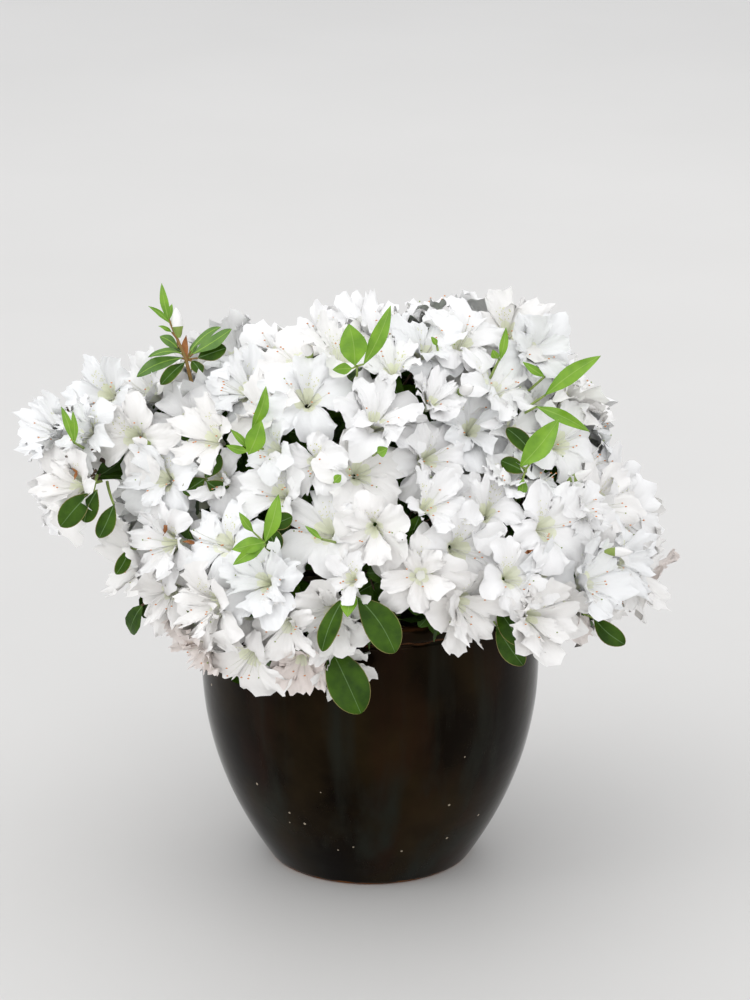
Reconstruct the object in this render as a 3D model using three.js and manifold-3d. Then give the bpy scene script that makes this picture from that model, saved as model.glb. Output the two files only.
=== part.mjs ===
// White azalea shrub in full flower, in a dark glazed egg-shaped pot.
// Millimetres, +Z up. The origin is the centre of the pot's flat underside, and the plant's front faces -Y.

import * as THREE from 'three';
import { mergeVertices } from 'three/addons/utils/BufferGeometryUtils.js';
import Module from 'manifold-3d';

const wasm = await Module();
wasm.setup();

// Clearance between pieces that touch in the real plant
const GAP = 0.3;

// Pot: the wall swells from the foot to the belly, draws in to the neck and ends in a rolled lip
const POT = {
  height: 210,
  footRadius: 72,
  footChamfer: 1.5,
  bellyRadius: 120,
  bellyHeight: 148,
  swell: 2.1,
  neckRadius: 117,
  neckHeight: 198,
  lipRadius: 119,
  wall: 9,
  floor: 14,
  sides: 44,
  outerSteps: 9,
  innerSteps: 4,
};

// Potting compost: it fills the pot and rises a little towards the trunk
const COMPOST = { height: 187, edgeHeight: 182, crestRadius: 34 };

// Trunk: a short leaning stem with a root flare, cut flat where it leaves the compost
const TRUNK = {
  height: 44,
  flareRadius: 17,
  flareHeight: 9,
  neckRadius: 10.5,
  topRadius: 8.5,
  lean: [-3, 4],
  sides: 10,
  steps: 8,
};

// Boughs: one tapering limb for each mass. They leave the trunk in tiers, the highest masses' uppermost
const BOUGH = {
  baseRadius: 3.6,
  tipRadius: 2.1,
  sides: 6,
  steps: 6,
  topInset: 4,
  tierPitch: 10,
  rootInset: 0.8,
  beforeCore: 8,
};

// Masses of blossom: each one's centre, how far it reaches, its bough's tier, how low its blossom
// hangs and its bough's bow
const MASSES = [
  { name: 'top_right', centre: [62, 24, 292], reach: 110, tier: 0, hem: 200, bow: [0, 0, 0] },
  { name: 'top_left', centre: [-90, 14, 282], reach: 98, tier: 0, hem: 200, bow: [0, 0, 0] },
  { name: 'top_middle', centre: [-10, -22, 296], reach: 106, tier: 0, hem: 200, bow: [0, 0, 0] },
  { name: 'centre', centre: [16, -76, 248], reach: 92, tier: 1, hem: 198, bow: [0, 0, 0] },
  { name: 'left_tip', centre: [-188, -16, 299], reach: 53, tier: 2, hem: 200, bow: [4, 40, -10] },
  { name: 'left_low', centre: [-110, -28, 234], reach: 74, tier: 2, hem: 196, bow: [0, 0, 4] },
  { name: 'front_left', centre: [-58, -74, 230], reach: 88, tier: 2, hem: 162, bow: [0, 0, 4] },
  { name: 'front_right', centre: [84, -62, 234], reach: 90, tier: 2, hem: 190, bow: [0, 0, 4] },
  { name: 'right', centre: [120, 6, 234], reach: 92, tier: 2, hem: 172, bow: [0, 0, 0] },
  { name: 'back_right', centre: [56, 78, 248], reach: 98, tier: 1, hem: 178, bow: [0, 0, 0] },
  { name: 'back_left', centre: [-60, 76, 248], reach: 98, tier: 1, hem: 178, bow: [0, 0, 0] },
];
const MASS_GAP = 4 * GAP;

// The way from the crown towards the eye
const FRONT = new THREE.Vector3(0, -0.6, 0.8);

// The point inside the crown that blossom faces away from
const CROWN_HEART = new THREE.Vector3(0, 0, 225);

// A mass's small dense core, as a share of its reach, and the stem that carries it
const CORE = { share: 0.4, roughness: 0.12, shrink: 0.92, least: 4, stemRadius: 2.1, stemLength: 16 };

// Twigs: three-sided, from inside a core to each flower or spray of leaves
const TWIG = { radius: 1.5, taper: 0.8, footShare: 0.6, limbClearance: 2.5, potClearance: 2, overLip: 9 };

// Flowers: five blunt lobes round a raised inner ring and a deep throat. Shares are of the flower's radius
const FLOWER = {
  radii: [31, 26, 22, 19],
  spacing: 0.76,
  candidates: 400,
  rimShare: 0.8,
  sunk: 6,
  tilt: 0.3,
  lift: 0.1,
  leastOutward: -0.1,
  leastUpward: -0.6,
  limbClearance: 6,
  lobes: 5,
  base: 0.8,
  throat: 0.42,
  twigEnd: 0.66,
  wave: 0.12,
  notch: 0.62,
  notchDrop: 0.1,
  shoulder: 0.45,
  shoulderReach: 0.94,
  innerReach: 0.46,
  innerRise: 0.12,
  dipReach: 0.3,
  dip: 0.16,
};

// Leaves: sprays on twigs wherever the blossom leaves room
const LEAF = {
  length: 42,
  shortest: 0.8,
  vary: 0.3,
  widthShare: 0.48,
  widestAt: 0.55,
  thickness: 1.8,
  edgeRise: 2.4,
  tipDrop: 0.07,
  candidates: 90,
  reach: 0.84,
  fromFlower: 22,
  spacing: 34,
  most: 2,
  count: 3,
  fewest: 2,
  leastOutward: -0.5,
  spread: 1.25,
  limbClearance: 3,
  pitch: 3,
};

// Shoots that stand out of the blossom or hang below it: where each ends and which way its leaves point
const SHOOTS = [
  { end: [-126, 26, 366], toward: [-0.1, -0.3, 1], leaves: 6, length: 38, spread: 1.5 },
  { end: [-137, 26, 388], toward: [-0.3, 0, 1], leaves: 3, length: 25, spread: 0.36 },
  { end: [-6, -34, 368], toward: [0.1, -0.2, 1], leaves: 2, length: 42, spread: 0.45 },
  { end: [132, -6, 350], toward: [0.9, -0.3, 0.4], leaves: 2, length: 42, spread: 0.6 },
  { end: [98, -106, 296], toward: [0.6, -0.4, 0.9], leaves: 1, length: 48, spread: 0 },
  { end: [-80, -66, 336], toward: [0.1, -0.3, 1], leaves: 3, length: 38, spread: 0.6 },
  { end: [-58, -130, 290], toward: [0.3, -0.4, 0.9], leaves: 3, length: 40, spread: 0.6 },
  { end: [-205, -20, 330], toward: [-0.2, -0.2, 1], leaves: 2, length: 26, spread: 0.4 },
  { end: [-3, -150, 237], toward: [0.5, -0.4, -0.8], leaves: 1, length: 44, spread: 0 },
  { end: [-28, -136, 204], toward: [0.15, -0.3, -1], leaves: 1, length: 46, spread: 0 },
  { end: [90, -130, 214], toward: [0.3, -0.4, -0.9], leaves: 2, length: 38, spread: 0.5 },
  { end: [150, -60, 190], toward: [0.3, -0.5, -0.7], leaves: 2, length: 40, spread: 0.6 },
  { end: [-198, -22, 262], toward: [-0.2, -0.3, -0.9], leaves: 2, length: 38, spread: 0.5 },
];

// Edges shorter than this are drawn together where pieces are fused
const WELD = 0.3;

// How many points along each limb, each twig and the pot's wall are looked at
const SAMPLES = { trunk: 13, bough: 25, twig: 9, plug: 12 };

const FIRST_SEED = 100;
const SEED_STEP = 10;

function vector(x, y, z) {
  return new THREE.Vector3(x, y, z);
}

// A repeatable stream of numbers from 0 to 1
function seededRandom(seed) {
  let state = seed >>> 0;
  return () => {
    state = (Math.imul(state, 1664525) + 1013904223) >>> 0;
    return state / 2 ** 32;
  };
}

function evenly(from, to, count) {
  return Array.from({ length: count }, (unused, i) => from + ((to - from) * i) / (count - 1));
}

// Outer radius of the pot's wall at a height
function potRadius(z) {
  if (z < POT.bellyHeight) {
    const toBelly = 1 - Math.max(z, 0) / POT.bellyHeight;
    return POT.bellyRadius - (POT.bellyRadius - POT.footRadius) * toBelly ** POT.swell;
  }
  const toNeck = Math.min(1, (z - POT.bellyHeight) / (POT.neckHeight - POT.bellyHeight));
  return POT.bellyRadius - (POT.bellyRadius - POT.neckRadius) * toNeck ** 2;
}

// A solid of revolution that stands on its z axis
function turnedUp(profile) {
  const points = profile.map(([radius, height]) => new THREE.Vector2(radius, height));
  return new THREE.LatheGeometry(points, POT.sides).rotateX(Math.PI / 2);
}

function potGeometry() {
  const lipTurn = (POT.height - POT.neckHeight) / 4;
  const outer = evenly(POT.footChamfer, POT.neckHeight, POT.outerSteps).map((z) => [potRadius(z), z]);
  const innerHeights = [POT.neckHeight, ...evenly(COMPOST.edgeHeight, POT.floor, POT.innerSteps)];
  const inner = innerHeights.map((z) => [potRadius(z) - POT.wall, z]);
  return turnedUp([
    [0, 0],
    [POT.footRadius - POT.footChamfer, 0],
    ...outer,
    [POT.lipRadius, POT.neckHeight + lipTurn],
    [POT.lipRadius, POT.height - lipTurn],
    [POT.lipRadius - lipTurn, POT.height],
    [POT.neckRadius - POT.wall + lipTurn / 2, POT.height],
    ...inner,
    [0, POT.floor],
  ]);
}

function compostGeometry() {
  const bottom = POT.floor + GAP;
  const side = evenly(POT.floor, COMPOST.edgeHeight, POT.innerSteps);
  return turnedUp([
    [0, bottom],
    ...side.map((z) => [potRadius(z) - POT.wall - 2 * GAP, Math.max(z, bottom)]),
    [COMPOST.crestRadius, COMPOST.height],
    [0, COMPOST.height],
  ]);
}

function trunkRadius(share) {
  const flare = Math.max(0, 1 - (share * TRUNK.height) / TRUNK.flareHeight);
  const shaft = TRUNK.neckRadius + (TRUNK.topRadius - TRUNK.neckRadius) * share;
  return shaft + (TRUNK.flareRadius - TRUNK.neckRadius) * flare ** 2;
}

const trunkFoot = vector(0, 0, COMPOST.height + GAP);
const trunkTop = vector(TRUNK.lean[0], TRUNK.lean[1], trunkFoot.z + TRUNK.height);
const trunkLine = new THREE.LineCurve3(trunkFoot, trunkTop);

// The trunk leans, but its foot, its rings and its top stay level
function trunkGeometry() {
  const trunk = new THREE.CylinderGeometry(1, 1, 1, TRUNK.sides, TRUNK.steps);
  const place = trunk.attributes.position;
  for (let i = 0; i < place.count; i += 1) {
    const share = place.getY(i) + 0.5;
    const middle = trunkLine.getPoint(share);
    const radius = trunkRadius(share);
    place.setXYZ(i, middle.x + place.getX(i) * radius, middle.y - place.getZ(i) * radius, middle.z);
  }
  return trunk;
}

// The way of a mass's bough: from the trunk's side, rising late, to where it enters the mass
function boughCurve(mass) {
  const level = 1 - (BOUGH.topInset + mass.tier * BOUGH.tierPitch) / TRUNK.height;
  const root = trunkLine.getPoint(level);
  const bow = vector(...mass.bow);
  const side = vector().subVectors(mass.middle, root).addScaledVector(bow, 2).setZ(0).normalize();
  root.addScaledVector(side, trunkRadius(level) + 2 * GAP + BOUGH.rootInset * BOUGH.baseRadius);
  const entering = vector().subVectors(mass.middle, root).sub(bow).normalize();
  const tip = mass.middle.clone().addScaledVector(entering, -(mass.reach * CORE.share + BOUGH.beforeCore));
  const middle = vector().lerpVectors(root, tip, 0.5).add(bow);
  middle.z -= (tip.z - root.z) / 4;
  return new THREE.QuadraticBezierCurve3(root, middle, tip);
}

function boughRadius(share) {
  return BOUGH.baseRadius + (BOUGH.tipRadius - BOUGH.baseRadius) * share;
}

// A cylinder bent along a bough's way and tapered to its tip
function boughGeometry(mass) {
  const limb = new THREE.CylinderGeometry(1, 1, 1, BOUGH.sides, BOUGH.steps);
  const place = limb.attributes.position;
  for (let i = 0; i < place.count; i += 1) {
    const share = place.getY(i) + 0.5;
    const along = mass.bough.getTangent(share);
    const across = vector(0, 0, 1).cross(along).normalize();
    const over = vector().crossVectors(along, across).normalize();
    const point = mass.bough.getPoint(share);
    point.addScaledVector(across, place.getX(i) * boughRadius(share));
    point.addScaledVector(over, -place.getZ(i) * boughRadius(share));
    place.setXYZ(i, point.x, point.y, point.z);
  }
  return limb;
}

for (const mass of MASSES) {
  mass.middle = vector(...mass.centre);
  mass.outward = vector().subVectors(mass.middle, CROWN_HEART).normalize();
  mass.bough = boughCurve(mass);
}

// Points along the trunk and the boughs, each with the limb's radius there
const limbPoints = evenly(0, 1, SAMPLES.trunk).map((t) => {
  return { point: trunkLine.getPoint(t), radius: trunkRadius(t) };
});
for (const mass of MASSES) {
  for (const t of evenly(0, 1, SAMPLES.bough)) {
    limbPoints.push({ point: mass.bough.getPoint(t), radius: boughRadius(t) });
  }
}

// A mass keeps to the side of each plane midway between its ball and another's
function insideCell(point, mass) {
  const power = (m) => point.distanceToSquared(m.middle) - m.reach ** 2;
  const own = power(mass) + Number.EPSILON;
  const beyond = (other) => power(other) - own >= MASS_GAP * other.middle.distanceTo(mass.middle);
  return MASSES.every((other) => other === mass || beyond(other));
}

function clearOfPot(point) {
  if (point.z > POT.height + TWIG.potClearance) return true;
  const widest = Math.max(potRadius(point.z), POT.lipRadius);
  return Math.hypot(point.x, point.y) > widest + TWIG.potClearance;
}

function clearOfLimbs(point, clearance) {
  return limbPoints.every((limb) => point.distanceTo(limb.point) > limb.radius + clearance);
}

function allClear(points, mass, clearance) {
  return points.every((p) => insideCell(p, mass) && clearOfPot(p) && clearOfLimbs(p, clearance));
}

function wayPoints(way) {
  const shares = evenly(0, 1, SAMPLES.twig);
  return way.slice(1).flatMap((end, i) => shares.map((t) => vector().lerpVectors(way[i], end, t)));
}

// A twig runs straight, or by way of a point above the pot's lip where the lip is in its way
function twigWay(mass, end) {
  const along = vector().subVectors(end, mass.middle).normalize();
  const foot = mass.middle.clone().addScaledVector(along, mass.reach * CORE.share * TWIG.footShare);
  if (wayPoints([foot, end]).every(clearOfPot)) return [foot, end];
  const outwards = (POT.lipRadius + TWIG.overLip) / Math.hypot(end.x, end.y);
  return [foot, vector(end.x * outwards, end.y * outwards, POT.height + TWIG.overLip), end];
}

// Directions spread evenly over a ball, each with four numbers of its own
function spreadDirections(count, random) {
  const goldenAngle = Math.PI * (3 - Math.sqrt(5));
  const turn = random() * 2 * Math.PI;
  const found = [];
  for (let i = 0; i < count; i += 1) {
    const z = 1 - (2 * i + 1) / count;
    const flat = Math.sqrt(1 - z * z);
    const angle = turn + i * goldenAngle;
    const direction = vector(flat * Math.cos(angle), flat * Math.sin(angle), z);
    found.push({ direction, chance: [random(), random(), random(), random()] });
  }
  return found;
}

// A frame at a point with its z axis along a direction, spun about it
function frameAlong(origin, axis, spin) {
  const turn = new THREE.Quaternion().setFromUnitVectors(vector(0, 0, 1), axis);
  turn.multiply(new THREE.Quaternion().setFromAxisAngle(vector(0, 0, 1), spin));
  return new THREE.Matrix4().compose(origin, turn, vector(1, 1, 1));
}

// Points round a flower's rim, round its middle and at its base
function flowerOutline(frame, radius) {
  const points = [vector(0, 0, -radius * FLOWER.base)];
  for (let i = 0; i < 2 * FLOWER.lobes; i += 1) {
    const angle = (i * Math.PI) / FLOWER.lobes;
    points.push(vector(Math.cos(angle), Math.sin(angle), 0).multiplyScalar(radius));
    points.push(vector(Math.cos(angle), Math.sin(angle), -FLOWER.base).multiplyScalar(radius / 2));
  }
  return points.map((p) => p.applyMatrix4(frame));
}

// Every place where a flower of the given radius fits its mass's space
function flowerChoices(mass, tries, radius) {
  const choices = [];
  const level = Math.sqrt(mass.reach ** 2 - (FLOWER.rimShare * radius) ** 2);
  for (const { direction, chance } of tries) {
    const outwardness = direction.dot(mass.outward);
    if (outwardness < FLOWER.leastOutward || direction.z < FLOWER.leastUpward) continue;
    const face = mass.middle.clone().addScaledVector(direction, level - chance[3] * FLOWER.sunk);
    const axis = vector().subVectors(face, CROWN_HEART).normalize().add(direction).multiplyScalar(0.5);
    axis.x += (chance[0] - 0.5) * FLOWER.tilt;
    axis.y += (chance[1] - 0.5) * FLOWER.tilt;
    axis.z += (chance[2] - 0.5 + FLOWER.lift) * FLOWER.tilt;
    axis.normalize();
    const frame = frameAlong(face, axis, chance[3] * 2 * Math.PI);
    const way = twigWay(mass, face.clone().addScaledVector(axis, -radius * FLOWER.twigEnd));
    const outline = flowerOutline(frame, radius);
    if (outline.some((p) => p.z < mass.hem)) continue;
    if (!allClear(outline, mass, FLOWER.limbClearance)) continue;
    if (!allClear(wayPoints(way), mass, TWIG.limbClearance)) continue;
    choices.push({ face, radius, frame, outwardness, way });
  }
  return choices;
}

// The first flower faces outwards most, and each next one is the nearest that keeps its distance
function placeFlowers(mass, random) {
  const tries = spreadDirections(FLOWER.candidates, random);
  const flowers = [];
  const nearest = (choice) => Math.min(...flowers.map((f) => f.face.distanceTo(choice.face)));
  const apart = (a, b) => a.face.distanceTo(b.face) >= FLOWER.spacing * (a.radius + b.radius);
  for (const radius of FLOWER.radii) {
    let open = flowerChoices(mass, tries, radius);
    for (;;) {
      open = open.filter((choice) => flowers.every((f) => apart(f, choice)));
      if (open.length === 0) break;
      const rank = flowers.length > 0 ? nearest : (choice) => -choice.outwardness;
      flowers.push(open.reduce((best, choice) => (rank(choice) < rank(best) ? choice : best)));
    }
  }
  return flowers;
}

// A leaf's frame: y along the leaf, z out of its upper face
function leafFrame(leaf) {
  const across = vector().crossVectors(leaf.along, leaf.up);
  if (across.lengthSq() < 0.001) across.crossVectors(leaf.along, FRONT);
  across.normalize();
  const face = vector().crossVectors(across, leaf.along);
  return new THREE.Matrix4().makeBasis(across, leaf.along, face).setPosition(leaf.root);
}

function leafOutline(leaf) {
  const { length } = leaf;
  const half = (LEAF.widthShare * length) / 2;
  const points = [
    vector(half, LEAF.widestAt * length, LEAF.edgeRise),
    vector(-half, LEAF.widestAt * length, LEAF.edgeRise),
    vector(0, LEAF.widestAt * length, -LEAF.thickness / 2),
    vector(0, length, -LEAF.tipDrop * length),
  ];
  return points.map((p) => p.applyMatrix4(leafFrame(leaf)));
}

// The leaves of a twig, less those that would leave the mass's space or touch a limb
function twigLeaves(mass, end, toward, length, spread, turn, count) {
  const twigAlong = vector().subVectors(end, mass.middle).normalize();
  const base = frameAlong(end, toward, turn * 2 * Math.PI);
  const leaves = [];
  for (let i = 0; i < count; i += 1) {
    const angle = (i * 2 * Math.PI) / count;
    const along = vector(Math.cos(angle) * spread, Math.sin(angle) * spread, 1).transformDirection(base);
    const root = end.clone().addScaledVector(twigAlong, -LEAF.pitch * (i + 0.5));
    leaves.push({ root, along, up: toward, length });
  }
  return leaves.filter((leaf) => allClear(leafOutline(leaf), mass, LEAF.limbClearance));
}

// Leafy twigs where the blossom leaves room for them
function placeSprays(mass, flowers, random) {
  const sprays = [];
  for (const { direction, chance } of spreadDirections(LEAF.candidates, random)) {
    if (sprays.length >= LEAF.most) break;
    if (direction.dot(mass.outward) < LEAF.leastOutward) continue;
    const end = mass.middle.clone().addScaledVector(direction, mass.reach * LEAF.reach);
    if (flowers.some((f) => f.face.distanceTo(end) < LEAF.fromFlower)) continue;
    if (sprays.some((s) => s.end.distanceTo(end) < LEAF.spacing)) continue;
    const way = twigWay(mass, end);
    if (!allClear(wayPoints(way), mass, TWIG.limbClearance)) continue;
    const length = LEAF.length * (LEAF.shortest + LEAF.vary * chance[0]);
    const leaves = twigLeaves(mass, end, direction, length, LEAF.spread, chance[1], LEAF.count);
    if (leaves.length >= LEAF.fewest) sprays.push({ end, way, leaves });
  }
  return sprays;
}

// The shoots that end in one mass's space
function placeShoots(mass) {
  const found = [];
  for (const shoot of SHOOTS) {
    const end = vector(...shoot.end);
    if (!insideCell(end, mass)) continue;
    const toward = vector(...shoot.toward).normalize();
    const leaves = twigLeaves(mass, end, toward, shoot.length, shoot.spread, 0, shoot.leaves);
    const way = twigWay(mass, end);
    const open = allClear(wayPoints(way), mass, TWIG.limbClearance);
    if (leaves.length > 0 && open) found.push({ end, way, leaves });
  }
  return found;
}

// A geometry as a solid, with its shared corners merged
function solid(geometry) {
  const bare = geometry.clone();
  bare.deleteAttribute('normal');
  bare.deleteAttribute('uv');
  const merged = mergeVertices(bare, 1e-4);
  const mesh = new wasm.Mesh({
    numProp: 3,
    vertProperties: new Float32Array(merged.attributes.position.array),
    triVerts: new Uint32Array(merged.index.array),
  });
  return new wasm.Manifold(mesh);
}

function geometryOf(whole) {
  const { vertProperties, triVerts } = whole.getMesh();
  const geometry = new THREE.BufferGeometry();
  geometry.setAttribute('position', new THREE.BufferAttribute(vertProperties, 3));
  geometry.setIndex(new THREE.BufferAttribute(triVerts, 1));
  geometry.computeVertexNormals();
  return geometry;
}

// The largest closed piece of a solid, so that sealed hollows are filled and loose scraps dropped
function largestPiece(whole) {
  return whole.decompose().reduce((best, piece) => (piece.volume() > best.volume() ? piece : best));
}

// An eight-faced leaf: widest past its middle, its edges raised and its tip turned down
function leafSolid(leaf) {
  const shape = new THREE.OctahedronGeometry(1);
  const place = shape.attributes.position;
  const half = (LEAF.widthShare * leaf.length) / 2;
  for (let i = 0; i < place.count; i += 1) {
    const [x, y, z] = [place.getX(i), place.getY(i), place.getZ(i)];
    const drop = y > 0.5 ? LEAF.tipDrop * leaf.length : 0;
    const share = y === 0 ? LEAF.widestAt : (1 + y) / 2;
    const height = (z * LEAF.thickness) / 2 + Math.abs(x) * LEAF.edgeRise - drop;
    place.setXYZ(i, x * half, share * leaf.length, height);
  }
  return solid(shape.applyMatrix4(leafFrame(leaf)));
}

// An open flower as one closed shallow funnel
function flowerSolid(flower, random) {
  const step = Math.PI / FLOWER.lobes;
  const at = (angle, reach, height) => vector(Math.cos(angle) * reach, Math.sin(angle) * reach, height);
  const points = [vector(0, 0, -FLOWER.base), vector(0, 0, -FLOWER.throat)];
  const faces = [];
  for (let i = 0; i < FLOWER.lobes; i += 1) {
    const angle = 2 * i * step;
    points.push(at(angle - step, FLOWER.innerReach, FLOWER.innerRise));
    points.push(at(angle, FLOWER.dipReach, -FLOWER.dip));
    points.push(at(angle - step, FLOWER.notch, -FLOWER.notchDrop));
    for (const side of [-FLOWER.shoulder, FLOWER.shoulder]) {
      const reach = FLOWER.shoulderReach + (1 - FLOWER.shoulderReach) * random();
      points.push(at(angle + side * step, reach, (2 * random() - 1) * FLOWER.wave));
    }
    const [tip, dip, notch, left, right] = [2, 3, 4, 5, 6].map((k) => k + 5 * i);
    const nextTip = 2 + 5 * ((i + 1) % FLOWER.lobes);
    const nextNotch = nextTip + 2;
    faces.push(0, left, notch, 0, right, left, 0, nextNotch, right);
    faces.push(1, tip, dip, 1, dip, nextTip);
    faces.push(tip, notch, left, tip, left, dip, dip, left, right);
    faces.push(dip, right, nextTip, nextTip, right, nextNotch);
  }
  points.forEach((p) => p.multiplyScalar(flower.radius));
  const shape = new THREE.BufferGeometry().setFromPoints(points);
  shape.setIndex(faces);
  return solid(shape.applyMatrix4(flower.frame));
}

// A three-sided twig between two points, thinner at its far end
function twigSolid(from, to, radius) {
  const corners = [0, 1, 2].map((i) => (i * 2 * Math.PI) / 3);
  const section = new THREE.Shape(
    corners.map((angle) => new THREE.Vector2(Math.cos(angle) * radius, Math.sin(angle) * radius)),
  );
  const shape = new THREE.ExtrudeGeometry(section, { depth: from.distanceTo(to), bevelEnabled: false });
  const place = shape.attributes.position;
  for (let i = 0; i < place.count; i += 1) {
    if (place.getZ(i) > 0) place.setXY(i, place.getX(i) * TWIG.taper, place.getY(i) * TWIG.taper);
  }
  const along = vector().subVectors(to, from).normalize();
  return solid(shape.applyMatrix4(frameAlong(from, along, 0)));
}

// A rough ball, drawn in wherever it would leave the mass's space or meet the pot
function coreSolid(mass, random) {
  const shape = new THREE.IcosahedronGeometry(1, 1);
  shape.deleteAttribute('normal');
  shape.deleteAttribute('uv');
  const ball = mergeVertices(shape, 1e-3);
  const place = ball.attributes.position;
  for (let i = 0; i < place.count; i += 1) {
    const direction = vector().fromBufferAttribute(place, i);
    let radius = mass.reach * CORE.share * (1 + (2 * random() - 1) * CORE.roughness);
    const point = mass.middle.clone().addScaledVector(direction, radius);
    while (radius > CORE.least && !(insideCell(point, mass) && clearOfPot(point))) {
      radius *= CORE.shrink;
      point.copy(mass.middle).addScaledVector(direction, radius);
    }
    place.setXYZ(i, point.x, point.y, point.z);
  }
  return solid(ball);
}

// The room that the pot and its mouth take up, which cores are cut clear of
function potPlug() {
  const top = POT.height + 2 * GAP;
  const widest = (z) => Math.max(potRadius(z), POT.lipRadius) + 3 * GAP;
  const side = evenly(-1, top, SAMPLES.plug).map((z) => [widest(z), z]);
  return solid(turnedUp([[0, -1], ...side, [0, top]]));
}

// The stem runs straight on from its bough's tip, a gap clear of it, and turns to the mass's middle
function stemSolid(mass) {
  const along = mass.bough.getTangent(1);
  const foot = mass.bough.getPoint(1).addScaledVector(along, GAP);
  const bend = foot.clone().addScaledVector(along, CORE.stemLength / 2);
  const end = foot.clone().addScaledVector(along, CORE.stemLength);
  return twigSolid(foot, end, CORE.stemRadius).add(twigSolid(bend, mass.middle, CORE.stemRadius));
}

function massSolid(mass, plug, seed) {
  const random = seededRandom(seed);
  const flowers = placeFlowers(mass, random);
  const sprays = [...placeSprays(mass, flowers, random), ...placeShoots(mass)];
  const parts = [stemSolid(mass)];
  for (const { way } of [...flowers, ...sprays]) {
    parts.push(...way.slice(1).map((end, i) => twigSolid(way[i], end, TWIG.radius)));
  }
  parts.push(...flowers.map((flower) => flowerSolid(flower, random)));
  parts.push(...sprays.flatMap((spray) => spray.leaves.map(leafSolid)));
  const core = coreSolid(mass, random).subtract(plug);
  const whole = parts.reduce((joined, piece) => joined.add(piece), core);
  return largestPiece(whole.asOriginal().simplify(WELD));
}

const GLAZE = new THREE.MeshStandardMaterial({ color: 0x17120f, roughness: 0.15, metalness: 0 });
const SOIL = new THREE.MeshStandardMaterial({ color: 0x3a2a1e, roughness: 0.95, metalness: 0 });
const BARK = new THREE.MeshStandardMaterial({ color: 0x6b5743, roughness: 0.85, metalness: 0 });
const BLOSSOM = new THREE.MeshStandardMaterial({ color: 0xf4f3ee, roughness: 0.6, metalness: 0 });

const shrub = new THREE.Group();

function place(name, geometry, material) {
  const mesh = new THREE.Mesh(geometry, material);
  mesh.name = name;
  shrub.add(mesh);
}

place('pot', potGeometry(), GLAZE);
place('compost', compostGeometry(), SOIL);
place('trunk', trunkGeometry(), BARK);
const plug = potPlug();
MASSES.forEach((mass, i) => {
  place(`bough_${mass.name}`, boughGeometry(mass), BARK);
  place(`mass_${mass.name}`, geometryOf(massSolid(mass, plug, FIRST_SEED + SEED_STEP * i)), BLOSSOM);
});

export default shrub;
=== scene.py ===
# A white azalea in full flower in a dark glazed pot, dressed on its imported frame.
# Sizes are in millimetres until a mesh is made. +Z is up and the plant's front faces -Y.

import math
from types import SimpleNamespace as Named

import bpy
import numpy as np
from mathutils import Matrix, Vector


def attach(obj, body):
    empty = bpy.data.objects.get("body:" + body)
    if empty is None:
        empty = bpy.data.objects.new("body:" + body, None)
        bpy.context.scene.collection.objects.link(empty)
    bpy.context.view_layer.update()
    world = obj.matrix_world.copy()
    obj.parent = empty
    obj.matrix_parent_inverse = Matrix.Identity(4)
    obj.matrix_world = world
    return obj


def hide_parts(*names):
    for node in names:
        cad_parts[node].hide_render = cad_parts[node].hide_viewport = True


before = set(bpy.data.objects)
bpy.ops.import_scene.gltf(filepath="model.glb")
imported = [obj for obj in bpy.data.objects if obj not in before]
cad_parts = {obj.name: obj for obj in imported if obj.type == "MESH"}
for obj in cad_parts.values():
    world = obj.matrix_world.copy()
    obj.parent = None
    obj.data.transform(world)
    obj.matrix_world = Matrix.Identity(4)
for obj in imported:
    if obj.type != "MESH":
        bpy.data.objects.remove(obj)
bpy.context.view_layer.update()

MM = 0.001
UP = np.array([0.0, 0.0, 1.0])
TURN = 2 * math.pi
GAP = 0.3


def vec(*values):
    return np.array(values, float)


def unit(v):
    return v / np.linalg.norm(v, axis=-1, keepdims=True)


def length_of(v):
    return np.linalg.norm(v, axis=-1)


def polar(radius, angle, height):
    """Points at a radius and an angle round +z."""
    flat = radius * np.cos(angle), radius * np.sin(angle)
    return np.stack(np.broadcast_arrays(*flat, height), axis=-1)


# The photograph's view, and the ways towards its eye and across its picture
VIEW = Named(aim=(3.5, 0, 263.6), elevation=19, distance=3000, lens=153.4, sensor=36, farthest=30)
TILT = math.radians(VIEW.elevation)
TO_EYE = vec(0, -math.cos(TILT), math.sin(TILT))
PICTURE_UP = vec(0, math.sin(TILT), math.cos(TILT))
PICTURE_RIGHT = vec(1, 0, 0)

# The pot, the compost and the limbs, sized as in the part's source
POT = Named(height=210, foot_radius=72, foot_chamfer=1.5, belly_radius=120, belly_height=148, swell=2.1,
            neck_radius=117, neck_height=198, lip_radius=119, lip_bulge=4, lip_bluntness=0.6, mouth_round=2,
            ease=1.5, wall=9, floor=14, sides=160, steps=90, lip_steps=15, inner_steps=30)
COMPOST = Named(height=187, edge_height=182, crest_radius=34, crumbs=[(0.9, 14), (0.7, 6)], sunk=0.6,
                sides=120, rings=40)
TRUNK = Named(height=44, flare_radius=17, flare_height=9, neck_radius=10.5, top_radius=8.5, lean=(-3, 4))
BOUGH = Named(base_radius=3.6, tip_radius=2.1, core_radius=1.6, top_inset=4, tier_pitch=10, root_inset=0.8,
              before_core=8)
CORE_SHARE = 0.4
TWIG = Named(foot_share=0.6, limb_clearance=2.5, pot_clearance=2, over_lip=9)

# Furrows of the bark: how deep, how many round a limb, how far they bend and how often along it
BARK = Named(furrows=[(0.5, 5, 3, 9), (0.35, 9, -5, 13)], grain=0.24)


def mass_of(name, centre, reach, tier, hem, bow=(0, 0, 0)):
    """A mass of blossom: its ball, its bough's tier, its lowest height and how its bough bows."""
    return Named(name=name, centre=vec(*centre), reach=reach, tier=tier, hem=hem, bow=vec(*bow))


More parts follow.
